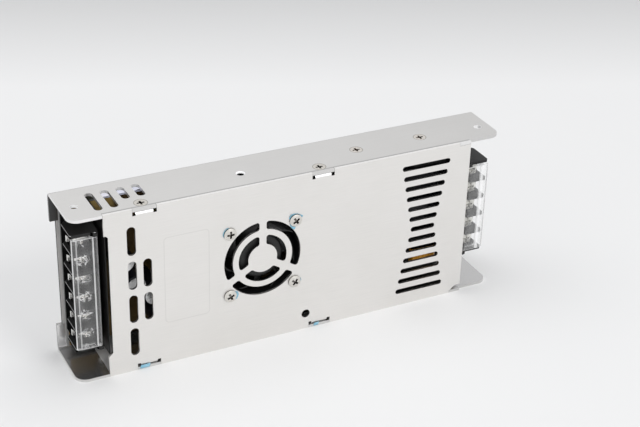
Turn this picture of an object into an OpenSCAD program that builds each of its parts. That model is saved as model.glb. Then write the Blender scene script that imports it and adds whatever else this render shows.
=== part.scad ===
// Slim fan-cooled switching power supply, standing on one long side wall.
// X runs along the length, Y from the cover to the base, Z up across the width.

/* [Case] */
// Length of the case
case_l = 212; // [190:0.5:260]
// Width of the case, which is its height as it stands
case_w = 81.5; // [73:0.5:100]
// Depth from the cover's face to the back of the base
case_d = 30; // [29:0.5:40]
// Thickness of the chassis sheet
sheet_t = 1.4; // [1:0.1:2]
// Inner radius of the chassis bends
bend_r = 1.4; // [0.5:0.1:3]
// Corner radius at the free ends of the side walls
wall_corner_r = 5; // [1:0.5:8]
// Depth of the notch in each end of the base
base_notch_d = 2.6; // [1:0.1:4]
// Height of the base ears beside the notch
base_ear_h = 14.2; // [8:0.2:20]

/* [Case holes] */
// Diameter of the plain holes near the ends of the upper wall
end_hole_d = 3.6; // [2.5:0.1:4.5]
// Distance of the plain holes from the ends
end_hole_x = 6.1; // [4:0.1:9]
// Depth of the plain holes behind the cover's face
end_hole_y = 12.2; // [8:0.1:18]
// Core diameter of the tapped mounting holes
tapped_d = 3.3; // [2.5:0.1:4.2]
// Chamfer at the mouth of the tapped side holes
tap_chamfer = 0.5; // [0.2:0.1:0.6]
// Outer diameter of the collar drawn up round a tapped hole
collar_d = 5.8; // [5:0.1:7]
// Height of that collar inside the sheet
collar_h = 1.6; // [0.5:0.1:2.2]
// Distance of the tapped side hole from the left end
side_tap_x = 83; // [75:0.5:105]
// Depth of the tapped side hole behind the cover's face
side_tap_y = 12.6; // [8:0.1:18]
// Spacing of the tapped base holes along the length
base_tap_x = 150; // [120:1:160]
// Spacing of the tapped base holes across the width
base_tap_z = 50; // [36:1:56]

/* [Cover] */
// Thickness of the cover sheet
cover_t = 1.2; // [0.8:0.1:1.6]
// Bare length of the side walls at the output end
cover_left = 14.6; // [14:0.2:20]
// Bare length of the side walls at the input end
cover_right = 17; // [17:0.2:22]
// Depth of the cut-out in the cover's output edge
cover_cut_d = 1.9; // [1:0.1:3]
// Height of that cut-out
cover_cut_h = 61; // [40:1:68]
// Length of the corner notches at the input end
corner_notch_l = 6; // [3:0.5:9]
// Radius of the scallop in the lower corner at the input end
scallop_r = 5; // [3:0.5:6]
// Gap between the cover and the chassis
seam = 0.1; // [0.05:0.01:0.2]
// Diameter of the trimmer access hole
access_d = 4.2; // [3:0.1:6]
// Distance of the access hole from the input end
access_x = 101.2; // [98:0.2:102]
// Height of the access hole above the lower wall's outside
access_z = 8.2; // [7.5:0.1:9.5]

/* [Cover tabs] */
// Width of the folded fixing tabs
tab_w = 8; // [6.5:0.5:10]
// Reach of the tabs behind the cover's face
tab_l = 8.5; // [7:0.1:10]
// Inner radius of the tab bends
tab_bend_r = 0.4; // [0.2:0.1:0.8]
// Width of the relief hole on each side of a tab
relief_w = 1.5; // [0.8:0.1:2.5]
// Distance of the first pair of tabs from the output end
tab1_x = 33.2; // [31:0.2:36]
// Distance of the second pair of tabs from the input end
tab2_x = 94; // [88:0.2:100]
// Depth of the tab screws behind the cover's face
tab_screw_y = 4.6; // [4.2:0.1:5.2]
// Thread diameter of the countersunk screws
csk_d = 3; // [2.5:0.1:3.2]
// Head diameter of the countersunk screws
csk_head_d = 5.7; // [5.2:0.1:6.2]
// Length of the countersunk screws
csk_l = 4.4; // [3.5:0.1:5]

/* [Vents] */
// Width of the slots in the cover's output vent
out_slot_w = 4; // [3:0.1:5]
// Length of the slots in the output vent
out_slot_l = 14; // [10:0.5:15]
// Pitch of the output slots
out_slot_pitch = 17; // [16:0.5:19]
// Distance of the first slot column from the output end
out_slot_x = 26.8; // [24:0.2:29]
// Distance between the two slot columns
out_column_gap = 7; // [6:0.1:9]
// Number of slots in the cover's input vent
in_slot_count = 13; // [5:2:13]
// Pitch of the input slots
in_slot_pitch = 5.5; // [4.5:0.1:5.8]
// Width of the input slots
in_slot_w = 2.5; // [1.5:0.1:3]
// Length of the middle input slot
in_slot_l = 12.8; // [8:0.2:16]
// Growth of the slot length from one slot to the next outer one
in_slot_step = 2.1; // [0:0.1:2.5]
// Distance of the input vent's centre from the input end
in_vent_x = 40.5; // [38:0.5:46]
// Width of the slots in the upper wall
wall_slot_w = 3.7; // [2.5:0.1:4.5]
// Pitch of the upper wall slots
wall_slot_pitch = 7.05; // [6:0.05:7.5]
// Distance of the first upper wall slot from the output end
wall_slot_x = 15.1; // [14.5:0.1:17]
// Depth where the first two upper wall slots begin
wall_slot_y0 = 5; // [4:0.1:8]
// Depth where the two slots over a tab begin
wall_slot_tab_y0 = 10.4; // [10:0.1:14]
// Depth where the upper wall slots end
wall_slot_y1 = 21.5; // [18:0.1:23]

/* [Fan] */
// Side of the square fan
fan_size = 40; // [36:0.5:44]
// Depth of the fan
fan_t = 10; // [9:0.5:11]
// Distance of the fan screws from the fan's edges
fan_screw_in = 4; // [3:0.1:4.5]
// Distance of the fan's axis from the input end
fan_x = 123.5; // [120:0.5:125]
// Height of the fan's axis above the middle of the case
fan_rise = 2.75; // [0:0.05:5]
// Thread diameter of the fan screws
fan_screw_d = 3; // [2.5:0.1:3.2]
// Length of the fan screws under the head
fan_screw_l = 9; // [6:0.5:10]
// Head diameter of the fan screws
fan_head_d = 6; // [5:0.1:7]
// Head height of the fan screws
fan_head_h = 1.3; // [0.8:0.1:2]
// Thinnest wall of the fan frame round its bore
fan_wall = 1.3; // [1:0.1:2]
// Diameter of the fan's hub
fan_hub_d = 22; // [20.5:0.5:24]
// Radius of the round front edge of the hub
fan_hub_edge = 1.6; // [0.4:0.1:2]
// Number of fan blades
fan_blades = 7; // [5:1:9]
// Running gap between the blade tips and the bore
fan_tip_gap = 0.6; // [0.4:0.1:1]
// Diameter of the fan's shaft
fan_shaft_d = 2; // [1.5:0.1:2.2]

/* [Fan grille] */
// Sheet left between the outer ring slot and the fan's edge
grille_rim = 1.2; // [0.8:0.1:2.5]
// Width of the outer ring slot
grille_outer_w = 4.2; // [3:0.1:4.5]
// Width of the sheet ring between the two ring slots
grille_band = 2.8; // [2:0.1:3.5]
// Width of the inner ring slot
grille_inner_w = 4.7; // [3:0.1:5]
// Width of the bridges across the slots
grille_bridge = 3.4; // [2:0.1:5]
// Radius of the slot corners
grille_corner = 1.2; // [0.3:0.1:1.4]

/* [Terminal blocks] */
// Pitch of the terminals
term_pitch = 9.5; // [9.2:0.1:10.4]
// Number of output terminals
out_count = 6; // [3:1:6]
// Number of input terminals
in_count = 5; // [3:1:6]
// Thickness of the dividers and end walls
term_wall = 1.5; // [1.2:0.1:1.8]
// Width of the block from its wire side to its rear wall
term_w = 12.5; // [12.5:0.1:12.9]
// Height of the dividers above the board
term_h = 20; // [19:0.1:20.6]
// Height of the output contact seats above the board
out_seat_h = 11.2; // [9:0.1:12]
// Height of the input contact seats above the board
in_seat_h = 13.2; // [11:0.1:13.4]
// Setback of the output seats from the wire side
out_setback = 2.2; // [2:0.1:2.6]
// Setback of the input seats from the wire side
in_setback = 1.2; // [1.1:0.1:1.6]
// Distance of the output block from the output end
out_term_x = 1; // [0.5:0.1:1.8]
// Distance of the input block from the input end
in_term_x = 4.4; // [4:0.1:4.5]
// Height of the blocks above the middle of the case
term_rise = 2.75; // [0:0.05:4]
// Thickness of the contact plates
contact_t = 1; // [0.6:0.1:1.2]
// Width of the contact tongues of the output block
tongue_w = 3; // [2:0.1:4]
// Side of the square clamp washers
clamp_w = 7.2; // [6.5:0.1:7.4]
// Thickness of the clamp washers
clamp_t = 0.9; // [0.6:0.1:1.2]
// Distance of the terminal screws from the wire side
term_screw_u = 6.6; // [6.4:0.1:6.9]
// Thread diameter of the terminal screws
term_screw_d = 3.9; // [3:0.1:4]
// Head diameter of the terminal screws
term_head_d = 6.8; // [5.5:0.1:7]
// Head height of the terminal screws
term_head_h = 2.2; // [1.5:0.1:2.8]

/* [Terminal covers] */
// Thickness of the clear hinged covers
flap_t = 1; // [0.8:0.1:1.2]
// Width of the sloping outer edge of a clear cover
flap_bevel_w = 2.2; // [1:0.1:3]
// Drop of the sloping outer edge
flap_bevel_h = 0.5; // [0.2:0.1:0.6]
// Gap between a clear cover and the end walls of its block
flap_gap = 0.3; // [0.2:0.05:0.5]
// Diameter of the hinge pins
pin_d = 1.4; // [1:0.1:1.6]
// Radial clearance of the hinge pins
pin_gap = 0.05; // [0.02:0.01:0.1]

/* [Circuit board] */
// Thickness of the board
board_t = 1.6; // [1:0.1:2]
// Height of the standoffs under the board
standoff_h = 3.4; // [3:0.1:4.5]
// Diameter of the standoffs
standoff_d = 5.5; // [5:0.1:6.5]
// Gap between the board and the side walls
board_gap = 3.8; // [2.5:0.1:4]
// Distance of the board from the output end
board_left = 2.8; // [2:0.1:3]
// Distance of the board from the input end
board_right = 4.6; // [4.4:0.1:5]
// Distance of the board screws from its long edges
board_fix_in = 4.3; // [4:0.1:5]
// Thread diameter of the board screws
board_screw_d = 3; // [2.5:0.1:3.2]
// Thickness of the insulating sheet behind the output block
barrier_t = 0.4; // [0.2:0.1:0.8]
// Distance of the insulating sheet from the output end
barrier_x = 15.3; // [14.6:0.1:15.7]
// Thickness of the insulating sheets on the case
insulator_t = 0.3; // [0.2:0.1:0.5]
// Distance of the base sheet from both ends
base_sheet_in = 8; // [6:0.5:13]
// Distance of the wall sheet's left edge from the input end
wall_sheet_x0 = 86; // [80:1:87]
// Distance of the wall sheet's right edge from the input end
wall_sheet_x1 = 17.5; // [6:0.5:20]

/* [Heat bars] */
// Thickness of the heat bars
bar_t = 4; // [3.5:0.1:5]
// Height of the bars along the walls
bar_h = 15; // [14:0.5:16]
// Length of the input heat bar
in_bar_l = 56; // [54:1:60]
// Length of the output heat bar
out_bar_l = 30; // [28:1:36]
// Distance of the input bar's middle from the input end
in_bar_x = 54; // [52:0.5:56]
// Distance of the output bar's middle from the output end
out_bar_x = 55; // [54:0.5:57]
// Spacing of the screws in the input bar
in_bar_pitch = 33.5; // [30:0.5:36]
// Spacing of the screws in the output bar
out_bar_pitch = 21; // [20:0.5:22]
// Depth of the bar screws behind the cover's face
bar_screw_y = 13.3; // [12.8:0.1:14.5]
// Thickness of the insulating pads
pad_t = 0.3; // [0.2:0.1:0.6]

/* [Electronics] */
// Diameter of the output capacitors
out_cap_d = 10; // [8:0.1:10.2]
// Height of the output capacitors
out_cap_h = 19; // [12:0.5:20]
// Diameter of the bulk capacitors
bulk_d = 18; // [14:0.5:18.4]
// Length of the bulk capacitors
bulk_l = 34; // [25:0.5:34.5]
// Length and width of the transformer core
trafo_w = 30; // [26:0.5:30.5]
// Height of the transformer
trafo_h = 18.4; // [16:0.1:19]
// Width of the input choke core along the case
choke_w = 18.5; // [16:0.5:18.5]
// Width of the input choke core across the case
choke_d = 17; // [15:0.5:17]
// Height of the input choke
choke_h = 17.6; // [14:0.1:18.5]
// Outer diameter of the output inductor core
ring_d = 23; // [20:0.5:23]
// Bore of the output inductor core
ring_bore = 14; // [13:0.5:15]
// Height of the output inductor core
ring_h = 9; // [6:0.2:9]
// Wire diameter of the output inductor
ring_wire = 1.4; // [1:0.1:1.5]
// Number of turns on the output inductor
ring_turns = 16; // [10:1:18]

/* [Board layout] */
// Distance of the lower left board screw from the output end
fix_left = 19.5; // [19:0.1:21]
// Distance of the upper left board screw from the output end
fix_left_high = 41; // [40:0.1:42]
// Distance of the board screws from the input end
fix_right = 22; // [21:0.1:23]
// Distance of the lower middle board screw from the input end
fix_mid_low = 112; // [110:0.5:116]
// Distance of the upper middle board screw from the input end
fix_mid_high = 105; // [103:0.5:107]
// Distance of the transformer's middle from the input end
trafo_x = 80; // [79.5:0.1:81]
// Distance of the choke's middle from the input end
choke_x = 34.5; // [34.4:0.1:35]
// Gap between the choke and the bulk capacitors
choke_gap = 4.8; // [4:0.1:5]
// Distance of the bulk capacitors' feet from the input end
bulk_x = 29.8; // [29.5:0.1:30]
// Gap between the bulk capacitors and their neighbours
bulk_gap = 0.5; // [0.3:0.1:0.8]
// Distance of the output inductor's middle from the output end
ring_x = 52.4; // [50:0.1:53]
// Height of the output inductor above the middle of the case
ring_rise = 16.85; // [15:0.05:18]
// Distance of the film capacitor's middle from the input end
film_x = 21.8; // [21.7:0.1:24.5]
// Height of the film capacitor above the middle of the case
film_rise = 14.25; // [13:0.05:15]
// Distance of the fuse from the input end
fuse_x = 20.3; // [20.2:0.1:21]
// Height of the fuse's middle above the lower wall's outside
fuse_z = 28; // [26:0.5:30]
// Distance of the safety capacitors from the input end
safety_x = 61; // [60.5:0.1:62]
// Pitch of the safety capacitors
safety_pitch = 5.5; // [4.5:0.1:6]
// Height of the safety capacitors above the lower wall's outside
safety_z = 12.5; // [11:0.1:14]
// Distance of the thermistor from the input end
therm_x = 49; // [48:0.1:50]
// Distance of the first control chip from the input end
chip_x = 136; // [132:0.5:138]
// Pitch of the control chips
chip_pitch = 8.5; // [8:0.1:9]
// Height of the control chips above the board's lower edge
chip_rise = 10.8; // [9:0.1:12]
// Distance of the fan connector from the input end
header_x = 116; // [115:0.5:120]
// Distance of the fan connector from the board's upper edge
header_in = 7.3; // [6:0.1:9]

// Distance of the first switching transistor from the input end
transistor_a_x = 77; // [76.5:0.1:77.5]
// Distance of the second switching transistor from the input end
transistor_b_x = 64; // [63.5:0.1:64.5]
// Distance of the bridge rectifier from the input end
bridge_x = 37.5; // [37:0.1:38.5]
// Distance of the first output rectifier from the output end
rectifier_a_x = 48.5; // [48:0.1:49]
// Distance of the second output rectifier from the output end
rectifier_b_x = 61.5; // [61:0.1:62]
// Distance of the first output capacitor from the output end
cap_a_x = 25; // [24:0.1:26]
// Height of the first output capacitor above the middle of the case
cap_a_rise = 12.6; // [12:0.05:15]
// Distance of the second output capacitor from the output end
cap_b_x = 30; // [29:0.1:31]
// Depth of the second output capacitor under the middle of the case
cap_b_drop = 0.45; // [0:0.05:1]
// Distance of the third output capacitor from the output end
cap_c_x = 38.4; // [38:0.1:39]
// Depth of the third output capacitor under the middle of the case
cap_c_drop = 6.95; // [6.5:0.05:8]
// Distance of the fourth output capacitor from the output end
cap_d_x = 42; // [41:0.1:43]
// Depth of the fourth output capacitor under the middle of the case
cap_d_drop = 20.25; // [19:0.05:21]

/* [Small parts] */
// Width of the film capacitor
film_w = 9; // [8:0.1:9.2]
// Length of the film capacitor
film_l = 18; // [14:0.5:18.5]
// Height of the film capacitor
film_h = 15; // [12:0.5:18]
// Diameter of the safety capacitors
safety_d = 9; // [7:0.1:10]
// Thickness of the safety capacitors
safety_t = 3.6; // [3:0.1:4]
// Diameter of the thermistor
therm_d = 13; // [10:0.1:14]
// Thickness of the thermistor
therm_t = 4.5; // [3.5:0.1:5]
// Height of the standing discs above the board
disc_stand = 2; // [1:0.1:3]
// Thickness of the wire legs
leg_t = 0.8; // [0.6:0.1:1]
// Diameter of the fuse caps
fuse_d = 5.2; // [5:0.1:5.4]
// Length of the fuse
fuse_l = 20; // [19:0.5:21]
// Length of a fuse cap
fuse_cap = 5; // [4:0.1:6]
// Height of the fuse's axis above the board
fuse_v = 5; // [4:0.1:6]
// Width of the control chips
chip_w = 6.4; // [6:0.1:7]
// Height of the control chips
chip_h = 3.4; // [2.5:0.1:4]
// Pitch of the chip legs
chip_leg_pitch = 2.54; // [2.5:0.01:2.6]
// Length of the trimmer
trim_l = 9.5; // [8:0.1:10]
// Width of the trimmer
trim_w = 5; // [4.5:0.1:5.4]
// Height of the trimmer
trim_h = 10; // [6:0.5:12]
// Diameter of the trimmer's screw
trim_screw_d = 2.4; // [2:0.1:2.8]
// Length of the fan connector
header_l = 7.5; // [6:0.1:8]
// Width of the fan connector
header_w = 5.8; // [5:0.1:6.5]
// Height of the fan connector
header_h = 7; // [5:0.1:8]

/* [Hidden] */

$fn = 48;
// Overshoot of a cutting tool
cut = 1;
// Play round a thread or a pushed-in stub
thread_gap = 0.05;
// Play round a screw in a clearance hole
screw_play = 0.2;
// Play between wound parts and their carriers
coil_gap = 0.1;

// The screw heads stand in front of the cover, and Y = 0 halves the whole depth
y_front = -(case_d - fan_head_h) / 2;
y_back = y_front + case_d;
y_base = y_back - sheet_t;
board_back = y_base - standoff_h;
board_front = board_back - board_t;
mid_z = case_w / 2;
term_z = mid_z + term_rise;
fan_z = mid_z + fan_rise;
fan_pitch = fan_size - 2 * fan_screw_in;
fan_bore_d = fan_size - 2 * fan_wall;
grille_r4 = fan_size / 2 - grille_rim;
grille_r3 = grille_r4 - grille_outer_w;
grille_r2 = grille_r3 - grille_band;
grille_r1 = grille_r2 - grille_inner_w;
board_z0 = sheet_t + board_gap;
board_z1 = case_w - board_z0;

// Places measured from the output end, the input end and the cover's face
function x_at(d) = d - case_l / 2;
function x_end(d) = case_l / 2 - d;
function y_at(d) = y_front + d;

cover_x0 = x_at(cover_left);
cover_x1 = x_end(cover_right);
// Centre of the cover's scallop, in from its end and below its edge
scallop_in = 1;
scallop_drop = 1.3;
tabs = [x_at(tab1_x), x_end(tab2_x)];
// Width of the notch in the cover's edge over a tab
tab_notch_w = tab_w + 2 * relief_w;
// Outer face of an upper tab
tab_z = case_w - sheet_t - seam;
relief_z = tab_z - cover_t - tab_bend_r - seam;
// A countersunk head stays within the thickness of the sheet
csk_cone = min((csk_head_d - csk_d) / 2, sheet_t - thread_gap);

// Board screws, as places along X and Z
fix_low = board_z0 + board_fix_in;
fix_high = board_z1 - board_fix_in;
board_fixes = [
    [x_at(fix_left), fix_low], [x_at(fix_left_high), fix_high], [x_end(fix_mid_low), fix_low],
    [x_end(fix_mid_high), fix_high], [x_end(fix_right), fix_low], [x_end(fix_right), fix_high]
];
standoff_step = 0.7;
standoff_stub_d = standoff_d - 2 * standoff_step;
board_head_d = standoff_d;
board_head_h = 1.9;
board_screw_short = 0.6;
board_screw_l = board_t + standoff_h - board_screw_short;
barrier_short = 0.5;
barrier_gap = 2;
insulator_edge = 0.4;
wall_sheet_front = 3;

// Terminal block section: u from the wire side inwards, v up from the board
pin_r = pin_d / 2;
knuckle_wall = 0.3;
knuckle_r = pin_r + knuckle_wall;
lug_wall = 0.5;
lug_r = knuckle_r + lug_wall;
hinge_in = 0.2;
hinge_u = term_w - lug_r - hinge_in;
hinge_rise = 0.6;
hinge_v = term_h + hinge_rise;
flap_u0 = 0.2;
rib_drop = 1.8;
rib_slope = 0.6;
rear_wall = 1.2;
rear_gap = 0.7;
rear_h = hinge_v - knuckle_r - rear_gap;
divider_u0 = 0.3;
divider_chamfer = 0.6;
lug_gap = 0.1;
divider_step_u = hinge_u - lug_r - lug_gap;
divider_foot_v = 6;
tongue_u = 0.8;
contact_tail_w = 1.2;
contact_edge = 0.15;
contact_w = clamp_w + 2 * contact_edge;
contact_back = 0.3;
contact_front = term_screw_u - clamp_w / 2;
contact_end = term_w - rear_wall - contact_back;
screw_depth = 7.5;

// Fan, with its own depth axis from the cover inwards
fan_corner_r = 3;
fan_base_t = 1.4;
fan_strut_w = 2.2;
fan_face_gap = 0.8;
fan_cup_t = 1.2;
fan_base_gap = 0.6;
fan_bearing_wall = 1;
fan_bearing_d = fan_shaft_d + 2 * fan_bearing_wall;
fan_tube_wall = 1.2;
fan_tube_d = fan_bearing_d + 2 * fan_tube_wall;
fan_tube_gap = 0.4;
fan_bearing_gap = 0.9;
fan_shaft_end = 0.2;
fan_pole_gap = 1.8;
fan_stator_gap = 1;
fan_stator_low = 1.6;
fan_rotor_h = fan_t - fan_base_t - fan_base_gap - fan_face_gap;
fan_stator_d = fan_hub_d - 2 * fan_cup_t - 2 * fan_stator_gap;
fan_blade_r = fan_bore_d / 2 - fan_tip_gap;
fan_shaft_gap = 0.03;
// Each fan screw's side along X and Z, and how far its recess is turned
fan_screw_turns = [[-1, -1, 25], [-1, 1, 0], [1, -1, 54], [1, 1, 34]];
blade_t = 0.9;
blade_inset = 0.3;
blade_twist = 34;
blade_sweep = 22;

// Heat bars and what they carry
bar_shift = 0.4;
bar_low = board_front - y_at(bar_screw_y) - bar_h / 2 + bar_shift;
device_w = 10;
device_h = 15.5;
device_t = 4.5;
device_tab_t = 1.3;
device_body_h = 9;
device_lead = 3;
device_screw_d = 3;
device_head_d = 5.4;
device_head_h = 1.8;
bridge_w = 22;
bridge_t = 3.6;
bridge_h = 18;
transistors = [x_end(transistor_a_x), x_end(transistor_b_x)];
bridge = x_end(bridge_x);
rectifiers = [x_at(rectifier_a_x), x_at(rectifier_b_x)];
device_hole_in = 2.8;
device_hole_v = device_lead + device_h - device_hole_in;
device_leg_in = 2.6;
bridge_leg_in = 1.8;
bridge_leg_pitch = 5;
bridge_notch = 3;
pad_edge = 0.7;
pad_foot = 0.4;
device_screw_short = 1.6;

// Output capacitors, as places along X and Z
out_caps = [
    [x_at(cap_a_x), mid_z + cap_a_rise], [x_at(cap_b_x), mid_z - cap_b_drop],
    [x_at(cap_c_x), mid_z - cap_c_drop], [x_at(cap_d_x), mid_z - cap_d_drop]
];
can_edge = 0.6;
can_groove = 0.5;
can_groove_h = 1.8;
can_score = 0.25;
// The bulk capacitors lie under the power devices, and the choke under them
bulk_z = case_w - sheet_t - bar_t - pad_t - device_t - bulk_gap - bulk_d / 2;
bulk_low_z = bulk_z - bulk_d - bulk_gap;
choke_z = bulk_low_z - bulk_d / 2 - choke_gap - choke_d / 2;
therm_z = bulk_low_z - bulk_d / 2 - choke_gap - therm_d / 2;
// Wound parts: flanges and tube of a bobbin, and the round edges of its winding
coil_flange = 0.8;
coil_tube = 0.6;
coil_round = 1.6;
coil_low = 0.5;
ring_round = 1;
fuse_tube_step = 0.2;
clip_t = 0.4;
clip_foot_w = 3;
clip_in = 0.5;

// Extrusions that take a drawing in the plane across their axis
module plate_x(x0, x1) {
    translate([x0, 0, 0]) rotate([90, 0, 90]) linear_extrude(x1 - x0) children();
}

module plate_y(y0, y1) {
    translate([0, y1, 0]) rotate([90, 0, 0]) linear_extrude(y1 - y0) children();
}

module plate_z(z0, z1) {
    translate([0, 0, z0]) linear_extrude(z1 - z0) children();
}

// A box from its three spans
module span(x, y, z) {
    translate([x[0], y[0], z[0]]) cube([x[1] - x[0], y[1] - y[0], z[1] - z[0]]);
}

// A round-ended slot, long side up
module slot(w, l) {
    square([w, l - w], center = true);
    for (side = [-1, 1]) translate([0, side * (l - w) / 2]) circle(d = w);
}

// Both side walls: what is drawn at the upper wall and its mirror image
module both_walls() {
    children();
    translate([0, 0, case_w]) mirror([0, 0, 1]) children();
}

// Parts standing on the board: X stays, local Y is the case's Z, local Z is height
module on_board(x, z) {
    translate([x, board_front, z]) rotate([90, 0, 0]) children();
}

// A cross recess cut down from the origin
module cross_recess(size, depth) {
    arm = size / 3.6;
    for (turn = [0, 90]) {
        rotate(turn) translate([-size / 2, -arm / 2, -depth]) cube([size, arm, depth + cut]);
    }
}

// A low domed screw head standing on the origin
module dome_head(d, h) {
    rim = h * 0.45;
    crown = h - rim;
    ball = (d * d / 4 + crown * crown) / (2 * crown);
    cylinder(d = d, h = rim);
    intersection() {
        translate([0, 0, h - ball]) sphere(ball);
        cylinder(d = d, h = h);
    }
}

// A screw with its head on the origin and its thread downwards
module pan_screw(d, l, head_d, head_h) {
    difference() {
        union() {
            dome_head(head_d, head_h);
            translate([0, 0, -l]) cylinder(d = d, h = l + head_h / 2);
        }
        translate([0, 0, head_h]) cross_recess(head_d * 0.58, head_h * 0.75);
    }
}

// A countersunk screw with its flat head just below the origin
module flat_screw() {
    difference() {
        union() {
            translate([0, 0, -csk_cone - thread_gap]) cylinder(d1 = csk_d, d2 = csk_head_d, h = csk_cone);
            translate([0, 0, -csk_l]) cylinder(d = csk_d, h = csk_l - csk_cone / 2);
        }
        translate([0, 0, -thread_gap]) cross_recess(csk_head_d * 0.6, csk_cone * 0.75);
    }
}

// The hole that takes a countersunk screw, from the origin downwards
module flat_screw_hole() {
    play = 2 * thread_gap;
    translate([0, 0, -sheet_t - cut]) cylinder(d = csk_d + play, h = sheet_t + cut);
    translate([0, 0, -csk_cone]) cylinder(d1 = csk_d + play, d2 = csk_head_d + play, h = csk_cone);
    cylinder(d = csk_head_d + play, h = cut);
}

// Half of the chassis section: a box whose back corners are round
module round_backed(y0, y1, z0, z1, r) {
    translate([y0, z0]) square([y1 - r - y0, z1 - z0]);
    translate([y0, z0 + r]) square([y1 - y0, z1 - z0 - 2 * r]);
    for (z = [z0 + r, z1 - r]) translate([y1 - r, z]) circle(r);
}

module channel() {
    plate_x(-case_l / 2, case_l / 2) difference() {
        round_backed(y_front, y_back, 0, case_w, bend_r + sheet_t);
        round_backed(y_front - cut, y_base, sheet_t, case_w - sheet_t, bend_r);
    }
}

// The step along the walls where the cover lies, with the keys that fill its tab and corner notches
module cover_seat() {
    difference() {
        span([cover_x0 - seam, case_l / 2 + cut], [y_front - cut, y_at(cover_t + seam)],
             [-cut, case_w + cut]);
        for (x = tabs) {
            key_w = tab_notch_w - 2 * seam;
            span([x - key_w / 2, x + key_w / 2], [y_front - 2 * cut, y_at(cover_t + 2 * seam)],
                 [-2 * cut, case_w + 2 * cut]);
        }
        span([cover_x1 - corner_notch_l + seam, cover_x1], [y_front - 2 * cut, y_at(cover_t + 2 * seam)],
             [-2 * cut, case_w + 2 * cut]);
    }
}

// What is taken off the square front corner of a wall end
module wall_corner(x, side, y) {
    r = wall_corner_r;
    translate([x, y, 0]) scale([side, 1, 1]) plate_z(-cut, case_w + cut) difference() {
        translate([-cut, -cut]) square(r + cut);
        translate([r, r]) circle(r);
    }
}

module wall_slots() {
    for (i = [0:3]) {
        y0 = i < 2 ? wall_slot_y0 : wall_slot_tab_y0;
        translate([x_at(wall_slot_x + i * wall_slot_pitch), y_at((y0 + wall_slot_y1) / 2), 0])
            plate_z(mid_z, case_w + cut) slot(wall_slot_w, wall_slot_y1 - y0);
    }
}

module base_taps() {
    for (x = [-1, 1], z = [-1, 1]) {
        translate([x * base_tap_x / 2, y_base, mid_z + z * base_tap_z / 2]) rotate([90, 0, 0]) children();
    }
}

module chassis() {
    color("gainsboro") difference() {
        union() {
            channel();
            both_walls() translate([x_at(side_tap_x), y_at(side_tap_y), case_w - sheet_t - collar_h])
                cylinder(d = collar_d, h = collar_h + sheet_t / 2);
            base_taps() translate([0, 0, -sheet_t / 2]) cylinder(d = collar_d, h = collar_h + sheet_t / 2);
        }
        cover_seat();
        wall_corner(-case_l / 2, 1, y_front);
        wall_corner(case_l / 2, -1, y_at(cover_t + seam));
        for (x = [-case_l / 2, case_l / 2 - base_notch_d]) {
            shift = x < 0 ? -cut : 0;
            span([x + shift, x + shift + base_notch_d + cut], [y_base - cut, y_back + cut],
                 [base_ear_h, case_w - base_ear_h]);
        }
        wall_slots();
        for (x = [x_at(end_hole_x), x_end(end_hole_x)]) {
            translate([x, y_at(end_hole_y), mid_z]) cylinder(d = end_hole_d, h = mid_z + cut);
        }
        translate([x_at(side_tap_x), y_at(side_tap_y), -cut]) cylinder(d = tapped_d, h = case_w + 2 * cut);
        both_walls() translate([x_at(side_tap_x), y_at(side_tap_y), case_w - tap_chamfer])
            cylinder(d1 = tapped_d, d2 = tapped_d + 2 * (tap_chamfer + cut), h = tap_chamfer + cut);
        base_taps() translate([0, 0, -sheet_t - cut])
            cylinder(d = tapped_d, h = sheet_t + collar_h + 2 * cut);
        for (p = board_fixes) {
            translate([p[0], y_back + cut, p[1]]) rotate([90, 0, 0])
                cylinder(d = standoff_stub_d + 2 * thread_gap, h = sheet_t + 2 * cut);
        }
        both_walls() tab_screw_places() flat_screw_hole();
        bar_screw_places() flat_screw_hole();
    }
}

// Screw places on the outside of the upper wall, over the tabs
module tab_screw_places() {
    for (x = tabs) translate([x, y_at(tab_screw_y), case_w]) children();
}

// Screw places of the input bar on the upper wall and of the output bar on the lower wall
module bar_screw_places() {
    for (side = [-1, 1]) {
        translate([x_end(in_bar_x) + side * in_bar_pitch / 2, y_at(bar_screw_y), case_w]) children();
        translate([x_at(out_bar_x) + side * out_bar_pitch / 2, y_at(bar_screw_y), 0])
            mirror([0, 0, 1]) children();
    }
}

// One third of a ring slot of the grille, with round corners
module grille_slot(r0, r1) {
    offset(r = grille_corner, $fn = 24) offset(r = -grille_corner) intersection() {
        difference() {
            circle(r1, $fn = 120);
            circle(r0, $fn = 120);
        }
        far = 2 * r1;
        half = grille_bridge / 2;
        // The wedge between two bridges, set back by half a bridge on each side
        translate([half / sin(60), 0])
            polygon([[0, 0], [far * cos(60), far * sin(60)], [far, 0], [far * cos(60), -far * sin(60)]]);
    }
}

module fan_places() {
    for (x = [-1, 1], z = [-1, 1]) translate([x * fan_pitch / 2, z * fan_pitch / 2]) children();
}

// Everything punched through the flat of the cover, drawn along X and Z
module cover_openings() {
    for (i = [0:3]) {
        translate([x_at(out_slot_x), mid_z + (i - 1.5) * out_slot_pitch]) slot(out_slot_w, out_slot_l);
    }
    for (i = [1:2]) {
        translate([x_at(out_slot_x + out_column_gap), mid_z + (i - 1.5) * out_slot_pitch])
            slot(out_slot_w, out_slot_l);
    }
    half = (in_slot_count - 1) / 2;
    for (i = [-half:half]) {
        translate([x_end(in_vent_x), mid_z + i * in_slot_pitch]) rotate(90)
            slot(in_slot_w, in_slot_l + in_slot_step * abs(i));
    }
    translate([x_end(fan_x), fan_z]) {
        for (turn = [30, 150, 270]) rotate(turn) {
            grille_slot(grille_r1, grille_r2);
            grille_slot(grille_r3, grille_r4);
        }
        fan_places() circle(d = fan_screw_d + 2 * screw_play);
    }
    translate([x_end(access_x), access_z]) circle(d = access_d);
}

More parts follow.
